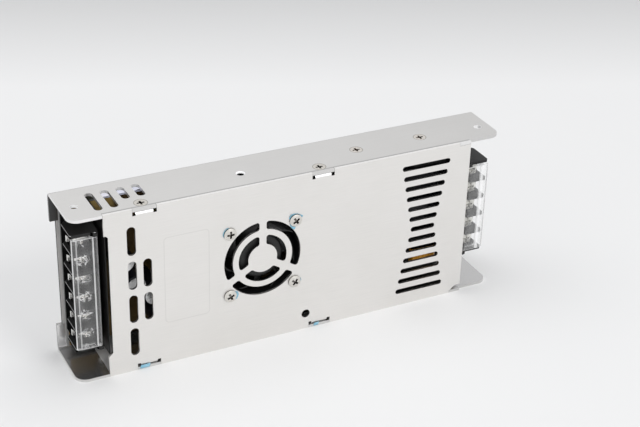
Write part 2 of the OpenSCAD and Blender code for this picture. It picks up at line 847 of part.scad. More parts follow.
// The cut-out in the cover's output edge, with a sloping lower corner
module cover_cut() {
    z0 = mid_z - cover_cut_h / 2;
    z1 = mid_z + cover_cut_h / 2;
    x1 = cover_x0 + cover_cut_d;
    slope = cover_cut_d;
    nip = cover_cut_d / 2;
    polygon([[cover_x0 - cut, z0], [x1 - slope, z0], [x1, z0 + slope], [x1, z1 - nip], [x1 - nip, z1],
             [cover_x0 - cut, z1]]);
}

// A notch in the cover's upper edge, with its two relief holes
module tab_notch(x) {
    translate([x - tab_notch_w / 2, tab_z]) square([tab_notch_w, case_w - tab_z + cut]);
    for (side = [-1, 1]) {
        translate([x + side * (tab_w + relief_w) / 2, (relief_z + tab_z + seam) / 2])
            square([relief_w, tab_z + seam - relief_z], center = true);
    }
}

module cover_outline() {
    difference() {
        translate([cover_x0, 0]) square([cover_x1 - cover_x0, case_w]);
        cover_cut();
        notch_h = sheet_t + seam + cut;
        for (z = [-cut, case_w + cut - notch_h]) {
            translate([cover_x1 - corner_notch_l, z]) square([corner_notch_l + cut, notch_h]);
        }
        translate([cover_x1 - scallop_in, -scallop_drop]) circle(scallop_r);
        for (x = tabs) {
            tab_notch(x);
            translate([0, case_w]) mirror([0, 1]) tab_notch(x);
        }
        // The plate stops where each tab's bend begins
        bend = cover_t + tab_bend_r;
        for (x = tabs, z = [tab_z - bend, case_w - tab_z]) {
            translate([x - tab_w / 2, z]) square([tab_w, bend]);
        }
        cover_openings();
    }
}

// One upper tab: a quarter bend and a flat tongue with its screw hole
module cover_tab(x) {
    outer = cover_t + tab_bend_r;
    difference() {
        union() {
            plate_x(x - tab_w / 2, x + tab_w / 2) {
                translate([y_at(outer), tab_z - outer]) intersection() {
                    difference() {
                        circle(outer);
                        circle(tab_bend_r);
                    }
                    translate([-outer, 0]) square(outer);
                }
            }
            span([x - tab_w / 2, x + tab_w / 2], [y_at(outer), y_at(tab_l)], [tab_z - cover_t, tab_z]);
        }
        translate([x, y_at(tab_screw_y), tab_z - cover_t - cut])
            cylinder(d = csk_d + 2 * thread_gap, h = cover_t + 2 * cut);
    }
}

module cover() {
    color("whitesmoke") {
        plate_y(y_front, y_at(cover_t)) cover_outline();
        both_walls() for (x = tabs) cover_tab(x);
    }
}

module cover_screws() {
    color("silver") both_walls() tab_screw_places() flat_screw();
}

module bar_screws() {
    color("silver") bar_screw_places() flat_screw();
}

// The fan's own frame: local Z runs from the cover inwards
module on_fan() {
    translate([x_end(fan_x), y_at(cover_t), fan_z]) rotate([-90, 0, 0]) children();
}

module fan_screws() {
    color("silver") translate([x_end(fan_x), y_front, fan_z]) rotate([90, 0, 0])
        for (place = fan_screw_turns) {
            translate([place[0] * fan_pitch / 2, place[1] * fan_pitch / 2]) rotate(place[2])
                pan_screw(fan_screw_d, fan_screw_l, fan_head_d, fan_head_h);
        }
}

// The openings between the struts that carry the fan's hub
module fan_windows() {
    difference() {
        circle(d = fan_bore_d, $fn = 96);
        circle(d = fan_hub_d);
        for (turn = [0, 120, 240]) rotate(turn) {
            translate([0, -fan_strut_w / 2]) square([fan_size, fan_strut_w]);
        }
    }
}

module fan_frame() {
    flat = fan_size - 2 * fan_corner_r;
    base_z = fan_t - fan_base_t;
    tube_h = fan_rotor_h - fan_cup_t - fan_tube_gap;
    color("#202022") on_fan() {
        difference() {
            plate_z(0, fan_t) {
                square([fan_size, flat], center = true);
                square([flat, fan_size], center = true);
                for (x = [-1, 1], y = [-1, 1]) translate([x * flat / 2, y * flat / 2]) circle(fan_corner_r);
            }
            translate([0, 0, -cut]) cylinder(d = fan_bore_d, h = base_z + cut, $fn = 96);
            plate_z(base_z - cut, fan_t + cut) fan_windows();
            fan_places() translate([0, 0, -cut])
                cylinder(d = fan_screw_d + 2 * thread_gap, h = fan_t + 2 * cut);
        }
        translate([0, 0, base_z - tube_h]) difference() {
            cylinder(d = fan_tube_d, h = tube_h + fan_base_t / 2);
            translate([0, 0, -cut]) cylinder(d = fan_bearing_d + 2 * thread_gap, h = tube_h + cut);
        }
    }
}

module fan_bearing() {
    color("peru") on_fan() translate([0, 0, fan_face_gap + fan_cup_t + fan_bearing_gap]) difference() {
        cylinder(d = fan_bearing_d, h = fan_rotor_h - fan_cup_t - fan_tube_gap);
        translate([0, 0, -cut]) cylinder(d = fan_shaft_d + 2 * fan_shaft_gap, h = fan_t);
    }
}

// Four wound poles on the bearing tube
module fan_stator() {
    h = fan_rotor_h - fan_cup_t - fan_stator_low;
    color("peru") on_fan() translate([0, 0, fan_t - fan_base_t - h]) difference() {
        cylinder(d = fan_stator_d, h = h);
        translate([0, 0, -cut]) cylinder(d = fan_tube_d + 2 * thread_gap, h = h + 2 * cut);
        for (turn = [0:90:270]) rotate(turn + 45) {
            span([fan_tube_d / 2 + fan_tube_wall, fan_stator_d], [-fan_pole_gap / 2, fan_pole_gap / 2],
                 [-cut, h + cut]);
        }
    }
}

// One blade: a thin swept strip from hub to tip, twisted along the fan's depth
module fan_blade() {
    root = fan_hub_d / 2 - fan_cup_t / 3;
    steps = 5;
    function sweep_at(t) = blade_sweep * t * t;
    function point(t, side) = let (
        r = root + (fan_blade_r - root) * t,
        turn = sweep_at(t) + side * blade_t / 2 / r * 180 / PI
    ) [r * cos(turn), r * sin(turn)];
    h = fan_rotor_h - 2 * blade_inset;
    linear_extrude(h, twist = blade_twist, slices = 6, segments = 12) polygon(concat(
        [for (i = [0:steps]) point(i / steps, -1)],
        [for (i = [steps:-1:0]) point(i / steps, 1)]
    ));
}

// The hub before it is hollowed, with its round front edge
module hub_body() {
    r = fan_hub_d / 2;
    flat = r - fan_hub_edge;
    rotate_extrude() {
        square([flat, fan_rotor_h]);
        translate([0, fan_hub_edge]) square([r, fan_rotor_h - fan_hub_edge]);
        translate([flat, fan_hub_edge]) circle(fan_hub_edge);
    }
}

module fan_rotor() {
    color("#2a2a2d") on_fan() translate([0, 0, fan_face_gap]) {
        difference() {
            hub_body();
            translate([0, 0, fan_cup_t]) cylinder(d = fan_hub_d - 2 * fan_cup_t, h = fan_rotor_h);
            translate([0, 0, -cut]) cylinder(d = fan_shaft_d, h = fan_rotor_h + 2 * cut);
        }
        for (i = [0:fan_blades - 1]) rotate(i * 360 / fan_blades) translate([0, 0, blade_inset])
            fan_blade();
    }
}

module fan_shaft() {
    color("silver") on_fan() translate([0, 0, fan_face_gap + fan_shaft_end])
        cylinder(d = fan_shaft_d, h = fan_rotor_h + fan_base_gap - 2 * fan_shaft_end);
}

module circuit_board() {
    color("#6b5328") difference() {
        span([x_at(board_left), x_end(board_right)], [board_front, board_back], [board_z0, board_z1]);
        for (p = board_fixes) {
            translate([p[0], board_back + cut, p[1]]) rotate([90, 0, 0])
                cylinder(d = board_screw_d + 2 * screw_play, h = board_t + 2 * cut);
        }
    }
}

module board_standoffs() {
    color("silver") for (p = board_fixes) {
        translate([p[0], board_back, p[1]]) rotate([-90, 0, 0]) difference() {
            union() {
                cylinder(d = standoff_d, h = standoff_h);
                cylinder(d = standoff_stub_d, h = standoff_h + sheet_t - thread_gap);
            }
            translate([0, 0, -cut]) cylinder(d = board_screw_d + 2 * thread_gap, h = standoff_h + cut);
        }
    }
}

module board_screws() {
    color("silver") for (p = board_fixes) {
        on_board(p[0], p[1]) pan_screw(board_screw_d, board_screw_l, board_head_d, board_head_h);
    }
}

// The black sheet that stands on the board behind the output block
module terminal_barrier() {
    color("#1a1a1c") span([x_at(barrier_x), x_at(barrier_x + barrier_t)],
                          [y_at(cover_t + 2 * seam), board_front],
                          [mid_z - cover_cut_h / 2 + barrier_short, case_w - sheet_t - barrier_gap]);
}

// The pale sheet on the base under the board, open round the standoffs and the tapped collars
module base_insulator() {
    z0 = sheet_t + bend_r + insulator_edge;
    color("aliceblue") difference() {
        span([x_at(base_sheet_in), x_end(base_sheet_in)], [y_base - insulator_t, y_base], [z0, case_w - z0]);
        for (p = board_fixes) {
            translate([p[0], y_base + cut, p[1]]) rotate([90, 0, 0])
                cylinder(d = standoff_d + 2 * screw_play, h = insulator_t + 2 * cut);
        }
        base_taps() translate([0, 0, -cut])
            cylinder(d = collar_d + 2 * screw_play, h = insulator_t + 2 * cut);
    }
}

// The black sheet on the lower wall beside the mains parts
module wall_insulator() {
    color("#1a1a1c") span([x_end(wall_sheet_x0), x_end(wall_sheet_x1)],
                          [y_at(wall_sheet_front), y_base - bend_r - insulator_edge],
                          [sheet_t, sheet_t + insulator_t]);
}

module at_output() {
    on_board(x_at(out_term_x), term_z) children();
}

module at_input() {
    on_board(x_end(in_term_x), term_z) mirror([1, 0, 0]) children();
}

// Middle of each terminal along the block
function term_places(n) = [for (k = [0:n - 1]) (k - (n - 1) / 2) * term_pitch];

// The moulded block: a seat for each terminal, dividers between and hinge lugs at the ends
module terminal_block(n, seat, setback) {
    half = n * term_pitch / 2;
    top = term_h - divider_chamfer;
    difference() {
        union() {
            plate_y(-half, half) polygon([
                [setback, 0], [setback, seat], [term_w - rear_wall, seat],
                [term_w - rear_wall, rear_h], [term_w, rear_h], [term_w, 0]
            ]);
            for (k = [0:n]) {
                y = (k - n / 2) * term_pitch;
                end = k == 0 || k == n;
                u0 = end ? 0 : divider_u0;
                plate_y(y - term_wall / 2, y + term_wall / 2) {
                    polygon([
                        [setback, 0], [setback, divider_foot_v], [u0, divider_foot_v + setback],
                        [u0, top], [u0 + divider_chamfer, term_h],
                        [divider_step_u, term_h], [divider_step_u, rear_h], [term_w, rear_h], [term_w, 0]
                    ]);
                    if (end) {
                        translate([hinge_u, hinge_v]) circle(lug_r);
                        translate([hinge_u - lug_r, rear_h - cut])
                            square([2 * lug_r, hinge_v - rear_h + cut]);
                    }
                }
            }
        }
        for (y = term_places(n)) {
            translate([term_screw_u, y, seat - screw_depth])
                cylinder(d = term_screw_d + 2 * screw_play, h = screw_depth + cut);
            translate([0, y, 0]) contact_tail(seat, thread_gap);
        }
        translate([hinge_u, half + term_wall, hinge_v]) rotate([90, 0, 0])
            cylinder(r = pin_r + pin_gap, h = 2 * half + 2 * term_wall);
    }
}

// The tail of a contact down to the board or, with some play, the hole that it needs
module contact_tail(seat, play) {
    span([contact_end - contact_t - play, contact_end + play],
         [-contact_tail_w / 2 - play, contact_tail_w / 2 + play], [-play, seat + contact_t / 2]);
}

// Contact plates: a seat, a flat tongue out to the tip and a tail through the block
module contacts(n, seat, tip) {
    for (y = term_places(n)) translate([0, y, 0]) {
        difference() {
            span([contact_front, contact_end], [-contact_w / 2, contact_w / 2], [seat, seat + contact_t]);
            translate([term_screw_u, 0, seat - cut])
                cylinder(d = term_screw_d + 2 * thread_gap, h = contact_t + 2 * cut);
        }
        span([tip, contact_front + contact_t], [-tongue_w / 2, tongue_w / 2], [seat, seat + contact_t]);
        contact_tail(seat, 0);
    }
}

// Square washers that press the wire on the seat
module clamps(n, seat) {
    for (y = term_places(n)) translate([term_screw_u, y, seat + contact_t]) difference() {
        translate([-clamp_w / 2, -clamp_w / 2, 0]) cube([clamp_w, clamp_w, clamp_t]);
        translate([0, 0, -cut]) cylinder(d = term_screw_d + 2 * thread_gap, h = clamp_t + 2 * cut);
    }
}

module terminal_screws(n, seat) {
    for (y = term_places(n)) {
        translate([term_screw_u, y, seat + contact_t + clamp_t])
            pan_screw(term_screw_d, screw_depth + contact_t, term_head_d, term_head_h);
    }
}

// The clear cover: a flat plate with a sloping outer edge, end ribs and a pinned knuckle
module terminal_cover(n) {
    half = n * term_pitch / 2 - term_wall / 2 - flap_gap;
    top = hinge_v + flap_t;
    rib_t = flap_t;
    plate_y(-half, half) {
        polygon([
            [flap_u0, top - flap_bevel_h - flap_t], [flap_u0, top - flap_bevel_h], [flap_bevel_w, top],
            [hinge_u, top], [hinge_u, hinge_v], [flap_bevel_w, hinge_v]
        ]);
        translate([hinge_u, hinge_v]) circle(knuckle_r);
    }
    for (side = [-1, 1]) {
        y = side * (half - rib_t / 2);
        plate_y(y - rib_t / 2, y + rib_t / 2) polygon([
            [flap_bevel_w, hinge_v + flap_t / 2], [flap_bevel_w + rib_slope, hinge_v - rib_drop],
            [divider_step_u - rib_slope, hinge_v - rib_drop], [divider_step_u, hinge_v + flap_t / 2]
        ]);
    }
    reach = half + flap_gap + term_wall * 0.75;
    translate([hinge_u, reach, hinge_v]) rotate([90, 0, 0]) cylinder(r = pin_r, h = 2 * reach);
}

module output_terminal_block() {
    color("#1b1b1d") at_output() terminal_block(out_count, out_seat_h, out_setback);
}

module output_contacts() {
    color("silver") at_output() contacts(out_count, out_seat_h, tongue_u);
}

module output_clamps() {
    color("gainsboro") at_output() clamps(out_count, out_seat_h);
}

module output_terminal_screws() {
    color("gainsboro") at_output() terminal_screws(out_count, out_seat_h);
}

module output_terminal_cover() {
    color("aliceblue", 0.35) at_output() terminal_cover(out_count);
}

module input_terminal_block() {
    color("#1b1b1d") at_input() terminal_block(in_count, in_seat_h, in_setback);
}

module input_contacts() {
    color("silver") at_input() contacts(in_count, in_seat_h, contact_front);
}

module input_clamps() {
    color("gainsboro") at_input() clamps(in_count, in_seat_h);
}

module input_terminal_screws() {
    color("gainsboro") at_input() terminal_screws(in_count, in_seat_h);
}

module input_terminal_cover() {
    color("aliceblue", 0.35) at_input() terminal_cover(in_count);
}

// Places against the upper and lower heat bars: local Y = 0 is the device face
module at_upper_bar(x) {
    on_board(x, case_w - sheet_t - bar_t - pad_t) children();
}

module at_lower_bar(x) {
    on_board(x, sheet_t + bar_t + pad_t) mirror([0, 1, 0]) children();
}

// A bar against the wall, with threads for its own screws and for the devices
module heat_bar(l, pitch, devices) {
    difference() {
        span([-l / 2, l / 2], [pad_t, pad_t + bar_t], [bar_low, bar_low + bar_h]);
        for (side = [-1, 1]) {
            translate([side * pitch / 2, pad_t, board_front - y_at(bar_screw_y)]) rotate([-90, 0, 0])
                cylinder(d = csk_d + 2 * thread_gap, h = bar_t + cut);
        }
        for (x = devices) {
            translate([x, pad_t - cut, device_hole_v]) rotate([-90, 0, 0])
                cylinder(d = device_screw_d + 2 * thread_gap, h = bar_t + cut);
        }
    }
}

module input_heat_bar() {
    x = x_end(in_bar_x);
    color("lightgray") at_upper_bar(x)
        heat_bar(in_bar_l, in_bar_pitch, [for (d = concat(transistors, [bridge])) d - x]);
}

module output_heat_bar() {
    x = x_at(out_bar_x);
    color("lightgray") at_lower_bar(x)
        heat_bar(out_bar_l, out_bar_pitch, [for (d = rectifiers) d - x]);
}

module device_hole(y0, y1) {
    translate([0, y0 - cut, device_hole_v]) rotate([-90, 0, 0])
        cylinder(d = device_screw_d + 2 * thread_gap, h = y1 - y0 + 2 * cut);
}

module device_leg() {
    span([-leg_t / 2, leg_t / 2], [-leg_t / 2, leg_t / 2], [0, device_lead + leg_t / 2]);
}

// A flat three-legged power device with its metal face on the pad
module power_device() {
    difference() {
        union() {
            span([-device_w / 2, device_w / 2], [-device_tab_t, 0], [device_lead, device_lead + device_h]);
            span([-device_w / 2, device_w / 2], [-device_t, -device_tab_t / 2],
                 [device_lead, device_lead + device_body_h]);
            for (i = [-1:1]) translate([i * chip_leg_pitch, -device_leg_in, 0]) device_leg();
        }
        device_hole(-device_t, 0);
    }
}

module switching_transistors() {
    color("#222224") for (x = transistors) at_upper_bar(x) power_device();
}

module output_rectifiers() {
    color("#222224") for (x = rectifiers) at_lower_bar(x) power_device();
}

module bridge_rectifier() {
    notch = bridge_notch;
    top = device_lead + bridge_h;
    color("#222224") at_upper_bar(bridge) difference() {
        union() {
            plate_y(-bridge_t, 0) polygon([
                [-bridge_w / 2, device_lead], [-bridge_w / 2, top - notch], [notch - bridge_w / 2, top],
                [bridge_w / 2, top], [bridge_w / 2, device_lead]
            ]);
            for (i = [-1.5:1.5]) translate([i * bridge_leg_pitch, -bridge_leg_in, 0]) device_leg();
        }
        device_hole(-bridge_t, 0);
    }
}

// Insulating pads between the bars and the devices
module pad(w, h) {
    difference() {
        span([-w / 2, w / 2], [0, pad_t], [device_lead + pad_foot, device_lead + h]);
        device_hole(0, pad_t);
    }
}

module device_pads() {
    color("lightsteelblue") {
        for (x = transistors) at_upper_bar(x) pad(device_w + 2 * pad_edge, device_h);
        at_upper_bar(bridge) pad(bridge_w, device_h);
        for (x = rectifiers) at_lower_bar(x) pad(device_w + 2 * pad_edge, device_h);
    }
}

module device_screw(depth) {
    reach = depth + pad_t + bar_t - device_screw_short;
    translate([0, -depth, device_hole_v]) rotate([90, 0, 0])
        pan_screw(device_screw_d, reach, device_head_d, device_head_h);
}

module device_screws() {
    color("silver") {
        for (x = transistors) at_upper_bar(x) device_screw(device_tab_t);
        at_upper_bar(bridge) device_screw(bridge_t);
        for (x = rectifiers) at_lower_bar(x) device_screw(device_tab_t);
    }
}

// A two-window core round a wound middle leg: w along local X, h the wound height
module shell_core(w, d, h) {
    core_h = h * 0.6;
    z0 = (h - core_h) / 2;
    leg = d * 0.36;
    rim = d * 0.13;
    translate([0, 0, z0]) difference() {
        translate([-w / 2, -d / 2, 0]) cube([w, d, core_h]);
        for (side = [0, 1]) mirror([0, side, 0]) {
            span([-w * 0.31, w * 0.31], [leg / 2, d / 2 - rim], [-cut, core_h + cut]);
        }
    }
}

// The hole that the middle leg needs in a bobbin or winding
module leg_hole(w, d, h) {
    core_h = h * 0.6 + 2 * coil_gap;
    translate([0, 0, h / 2]) cube([w, d * 0.36 + 2 * coil_gap, core_h], center = true);
}

// Two flanges on the board, joined by the tube round the middle leg
module shell_bobbin(w, d, h) {
    wide = d * 0.74 - 2 * coil_gap;
    inner = w * 0.31 - coil_gap;
    tube = coil_tube + coil_gap;
    difference() {
        union() {
            for (x = [-inner, inner - coil_flange]) span([x, x + coil_flange], [-wide / 2, wide / 2], [0, h]);
            translate([0, 0, h / 2])
                cube([2 * inner, d * 0.36 + 2 * tube, h * 0.6 + 2 * tube], center = true);
        }
        leg_hole(w, d, h);
    }
}

// The taped winding between the flanges
module shell_winding(w, d, h) {
    inner = w * 0.31 - 2 * coil_gap - coil_flange;
    wide = d * 0.74 - 4 * coil_gap;
    round = coil_round;
    tube = coil_tube + coil_gap;
    difference() {
        plate_x(-inner, inner) {
            translate([0, h / 2]) square([wide, h - 2 * coil_low - 2 * round], center = true);
            translate([0, h / 2]) square([wide - 2 * round, h - 2 * coil_low], center = true);
            for (y = [-1, 1], z = [-1, 1]) {
                translate([y * (wide / 2 - round), h / 2 + z * (h / 2 - coil_low - round)]) circle(round);
            }
        }
        translate([0, 0, h / 2])
            cube([w, d * 0.36 + 2 * tube + 2 * coil_gap, h * 0.6 + 2 * tube + 2 * coil_gap], center = true);
    }
}

module at_transformer() {
    on_board(x_end(trafo_x), mid_z) children();
}

module transformer_core() {
    color("#3a3a3c") at_transformer() shell_core(trafo_w, trafo_w, trafo_h);
}

module transformer_bobbin() {
    color("#1d1d1f") at_transformer() shell_bobbin(trafo_w, trafo_w, trafo_h);
}

module transformer_winding() {
    color("#d9a92a") at_transformer() shell_winding(trafo_w, trafo_w, trafo_h);
}

module at_choke() {
    on_board(x_end(choke_x), choke_z) rotate(90) children();
}

module choke_core() {
    color("#3a3a3c") at_choke() shell_core(choke_d, choke_w, choke_h);
}

module choke_bobbin() {
    color("#1d1d1f") at_choke() shell_bobbin(choke_d, choke_w, choke_h);
}

module choke_winding() {
    color("#d9921c") at_choke() shell_winding(choke_d, choke_w, choke_h);
}

module at_ring() {
    on_board(x_at(ring_x), mid_z + ring_rise) children();
}

module output_inductor_core() {
    round = ring_round;
    h = ring_h;
    w = (ring_d - ring_bore) / 2;
    color("#d8c24a") at_ring() translate([0, 0, ring_wire + coil_gap]) rotate_extrude($fn = 64) {
        translate([ring_bore / 2, round]) square([w, h - 2 * round]);
        translate([ring_bore / 2 + round, 0]) square([w - 2 * round, h]);
        for (x = [round, w - round], y = [round, h - round]) {
            translate([ring_bore / 2 + x, y]) circle(round);
        }
    }
}

// Turns of thick wire round the ring, each a closed loop
module output_inductor_winding() {
    w = (ring_d - ring_bore) / 2 + 2 * coil_gap;
    h = ring_h + 2 * coil_gap;
    color("#b87333") at_ring() for (i = [0:ring_turns - 1]) rotate(i * 360 / ring_turns) {
        translate([ring_bore / 2 - coil_gap, 0, ring_wire]) difference() {
            span([-ring_wire, w + ring_wire], [-ring_wire / 2, ring_wire / 2], [-ring_wire, h + ring_wire]);
            span([0, w], [-ring_wire, ring_wire], [0, h]);
        }
    }
}

// An electrolytic can standing on the origin: crimped sleeve and scored top
module can(d, h) {
    difference() {
        union() {
            cylinder(d = d, h = h - can_edge);
            translate([0, 0, h - can_edge]) cylinder(d1 = d, d2 = d - 2 * can_edge, h = can_edge);
        }
        translate([0, 0, can_groove_h]) rotate_extrude()
            translate([d / 2 + can_groove / 2, 0]) circle(can_groove * 1.4);
        translate([0, 0, h]) cross_recess(d * 0.6, can_score);
    }
}

module output_capacitors() {
    color("#c9ccd2") for (p = out_caps) on_board(p[0], p[1]) can(out_cap_d, out_cap_h);
}

// Two cans lying along the length, each on the board
module bulk_capacitors() {
    color("#26262b") for (z = [bulk_z, bulk_low_z]) {
        on_board(x_end(bulk_x), z) translate([0, 0, bulk_d / 2]) rotate([0, -90, 0]) can(bulk_d, bulk_l);
    }
}

module film_capacitor() {
    half = film_w / 2;
    edge = film_w / 11;
    color("#c8b23a") on_board(x_end(film_x), mid_z + film_rise) plate_y(-film_l / 2, film_l / 2) polygon([
        [-half, 0], [-half, film_h - edge], [edge - half, film_h], [half - edge, film_h],
        [half, film_h - edge], [half, 0]
    ]);
}

// A standing disc on two legs
module disc_part(d, t) {
    legs = d * 0.3;
    half = leg_t / 2;
    translate([-t / 2, 0, disc_stand + d / 2]) rotate([0, 90, 0]) cylinder(d = d, h = t);
    for (side = [-1, 1]) {
        span([-half, half], [side * legs - half, side * legs + half], [0, disc_stand + d / 2]);
    }
}

module safety_capacitors() {
    color("#3c74b8") for (x = [safety_x, safety_x - safety_pitch]) {
        on_board(x_end(x), safety_z) disc_part(safety_d, safety_t);
    }
}

module inrush_thermistor() {
    color("#3a4a3a") on_board(x_end(therm_x), therm_z) disc_part(therm_d, therm_t);
}

module at_fuse() {
    on_board(x_end(fuse_x), fuse_z) translate([0, 0, fuse_v]) rotate([90, 0, 0]) children();
}

module fuse() {
    color("lightgray") at_fuse() translate([0, 0, -fuse_l / 2]) {
        cylinder(d = fuse_d - 2 * fuse_tube_step, h = fuse_l);
        for (z = [0, fuse_l - fuse_cap]) translate([0, 0, z]) cylinder(d = fuse_d, h = fuse_cap);
    }
}

// Sprung clips that hold the fuse caps, open at the top
module fuse_clips() {
    clip_l = fuse_cap - 2 * clip_in;
    hold = fuse_d / 2 + thread_gap;
    color("silver") at_fuse() for (side = [-1, 1]) {
        translate([0, 0, side * (fuse_l - fuse_cap) / 2 - clip_l / 2]) linear_extrude(clip_l) difference() {
            union() {
                circle(hold + clip_t);
                translate([-clip_foot_w / 2, -fuse_v]) square([clip_foot_w, fuse_v]);
            }
            circle(hold);
            translate([-hold - cut, hold * 0.55]) square([2 * hold + 2 * cut, hold + cut]);
        }
    }
}

// A small chip on bent legs
module chip(legs) {
    l = legs * chip_leg_pitch - leg_t / 2;
    stand = leg_t;
    knee = stand + chip_h / 2;
    half = leg_t / 2;
    translate([-l / 2, -chip_w / 2, stand]) cube([l, chip_w, chip_h]);
    for (i = [0:legs - 1]) {
        x = (i - (legs - 1) / 2) * chip_leg_pitch;
        span([x - half, x + half], [-chip_w / 2 - leg_t, chip_w / 2 + leg_t], [knee - half, knee]);
        for (side = [-1, 1]) {
            y = side * (chip_w / 2 + 3 * half);
            span([x - half, x + half], [y - half, y + half], [0, knee]);
        }
    }
}

module control_chips() {
    color("#222224") for (i = [0:2]) {
        on_board(x_end(chip_x - i * chip_pitch), board_z0 + chip_rise) chip(i < 2 ? 2 : 4);
    }
}

module output_trimmer() {
    slot_w = trim_screw_d / 5;
    color("#2f5fae") on_board(x_end(access_x), access_z) difference() {
        union() {
            translate([-trim_l / 2, trim_screw_d / 3 - trim_w / 2, 0]) cube([trim_l, trim_w, trim_h]);
            cylinder(d = trim_screw_d, h = trim_h + trim_screw_d / 2);
        }
        span([-trim_screw_d, trim_screw_d], [-slot_w / 2, slot_w / 2],
             [trim_h + slot_w, trim_h + trim_screw_d]);
    }
}

// An open-topped two-pin header for the fan lead
module fan_connector() {
    wall = leg_t;
    floor_h = header_h * 0.3;
    color("ivory") on_board(x_end(header_x), board_z1 - header_in) {
        difference() {
            translate([-header_l / 2, -header_w / 2, 0]) cube([header_l, header_w, header_h]);
            translate([wall - header_l / 2, wall - header_w / 2, floor_h])
                cube([header_l - 2 * wall, header_w - 2 * wall, header_h]);
        }
        for (side = [-1, 1]) {
            x = side * chip_leg_pitch / 2;
            span([x - leg_t / 2, x + leg_t / 2], [-leg_t / 2, leg_t / 2], [floor_h / 2, header_h - wall]);
        }
    }
}

chassis();
cover();
cover_screws();
bar_screws();
fan_screws();
fan_frame();
fan_bearing();
fan_stator();
fan_rotor();
fan_shaft();
circuit_board();
board_standoffs();
board_screws();
terminal_barrier();
base_insulator();
wall_insulator();
output_terminal_block();
output_contacts();
output_clamps();
output_terminal_screws();
output_terminal_cover();
input_terminal_block();
input_contacts();
input_clamps();
input_terminal_screws();
input_terminal_cover();
input_heat_bar();
output_heat_bar();
device_pads();
device_screws();
switching_transistors();
bridge_rectifier();
output_rectifiers();
transformer_core();
transformer_bobbin();
transformer_winding();
choke_core();
choke_bobbin();
choke_winding();
output_inductor_core();
output_inductor_winding();
bulk_capacitors();
output_capacitors();
film_capacitor();
safety_capacitors();
fuse();
fuse_clips();
inrush_thermistor();
control_chips();
output_trimmer();
fan_connector();
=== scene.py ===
import math
from functools import cached_property, reduce

import bmesh
import bpy
from mathutils import Matrix, Vector

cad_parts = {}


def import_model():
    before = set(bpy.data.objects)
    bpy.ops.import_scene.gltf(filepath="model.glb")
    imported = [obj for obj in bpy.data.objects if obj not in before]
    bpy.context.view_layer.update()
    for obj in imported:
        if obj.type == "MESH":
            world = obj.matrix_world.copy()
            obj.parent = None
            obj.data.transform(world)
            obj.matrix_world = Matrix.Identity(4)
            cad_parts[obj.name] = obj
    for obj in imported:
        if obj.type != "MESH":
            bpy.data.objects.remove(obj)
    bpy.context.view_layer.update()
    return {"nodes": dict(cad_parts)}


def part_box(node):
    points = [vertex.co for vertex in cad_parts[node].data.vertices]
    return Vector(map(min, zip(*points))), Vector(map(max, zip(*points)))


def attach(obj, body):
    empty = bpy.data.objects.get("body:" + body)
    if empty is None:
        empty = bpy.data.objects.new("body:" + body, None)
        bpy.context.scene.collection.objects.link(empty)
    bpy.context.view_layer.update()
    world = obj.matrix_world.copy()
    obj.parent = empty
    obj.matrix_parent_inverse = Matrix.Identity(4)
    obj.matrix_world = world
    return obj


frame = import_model()
nodes = frame["nodes"]

MM = 0.001
X, Y, Z = range(3)
# How far a normal leans towards an axis for a face to count as turned that way
FULLY, SQUARELY, MOSTLY, PARTLY, SLIGHTLY = 0.85, 0.7, 0.5, 0.35, 0.2

# Planes of the case, from the frame itself
cover_lo, cover_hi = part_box("cover")
case_lo, case_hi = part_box("chassis")
FACE_Y = cover_lo.y
LEFT_X, RIGHT_X = case_lo.x, case_hi.x
MIDDLE_Z = case_hi.z / 2
TOP_Z = case_hi.z - 0.0002
WALL_IN_Z = (case_hi.z - 0.0017, case_hi.z - 0.0016)
BASE_IN_Y = 0.0135

# Holes in the side walls as (x, y), each with the radii between which its paint fades out
TAP_HOLE, TAP_RADIUS = (LEFT_X + 0.083, FACE_Y + 0.0126), (0.0021, 0.0023)
TAP_MOUTH = 0.0009
END_HOLES = [(x, FACE_Y + 0.0122) for x in (LEFT_X + 0.0061, RIGHT_X - 0.0061)]
END_HOLE_RADIUS = (0.00182, 0.0019)
# The countersunk screws in the upper wall: two over the tabs, two in the heat bar, each in a dark ring
TAB_SCREW_Y = FACE_Y + 0.0046
BAR_X, BAR_Y, BAR_HALF = RIGHT_X - 0.054, FACE_Y + 0.0133, 0.01675
SCREWS = [(LEFT_X + 0.0332, TAB_SCREW_Y), (RIGHT_X - 0.094, TAB_SCREW_Y),
          (BAR_X - BAR_HALF, BAR_Y), (BAR_X + BAR_HALF, BAR_Y)]
SINK_RADIUS, SINK_RING = 0.0030, (0.00008, 0.0002)

# The etched frame on the cover: its centre and half sizes along X and Z, its corner radius, and its line
ETCHED_BOX, ETCHED_LINE = ((-0.054, 0.0429), (0.0105, 0.0216), 0.0018), (0.0001, 0.0003)
# Punched edges of the cover get painted shade in a recess of this reach, and less so below the lower tabs'
# height
PUNCHED_REACH, PUNCHED_AIR = 0.004, (0.80, 0.985)
LOW_TAB_Z = (0.004, 0.006)
# How far back from the face the tab bends get their painted highlight
TAB_BEND_Y = FACE_Y + 0.0015
# Painted shade on the wall strip behind the cover's edge, and a painted highlight on the notch in its input
# corner
SEAM_Y = (FACE_Y + 0.00115, FACE_Y + 0.0021)
NOTCH_X = (cover_hi.x - 0.0075, cover_hi.x)

# Where light falls in by the upper wall's slots: how high up, on the film and the corner behind it, on the
# board and where that is dim again, and on the slots' own ends
SLOT_LIT_Z = (0.060, 0.068)
FILM_LIT_X = (LEFT_X + 0.0222, LEFT_X + 0.0480)
CORNER_Y = 0.0095
BOARD_LIT_X = (LEFT_X + 0.0120, LEFT_X + 0.0480)
BOARD_DIM_X = (LEFT_X + 0.0265, LEFT_X + 0.0285)
SLOT_ENDS_X = (LEFT_X + 0.0186, LEFT_X + 0.0400)
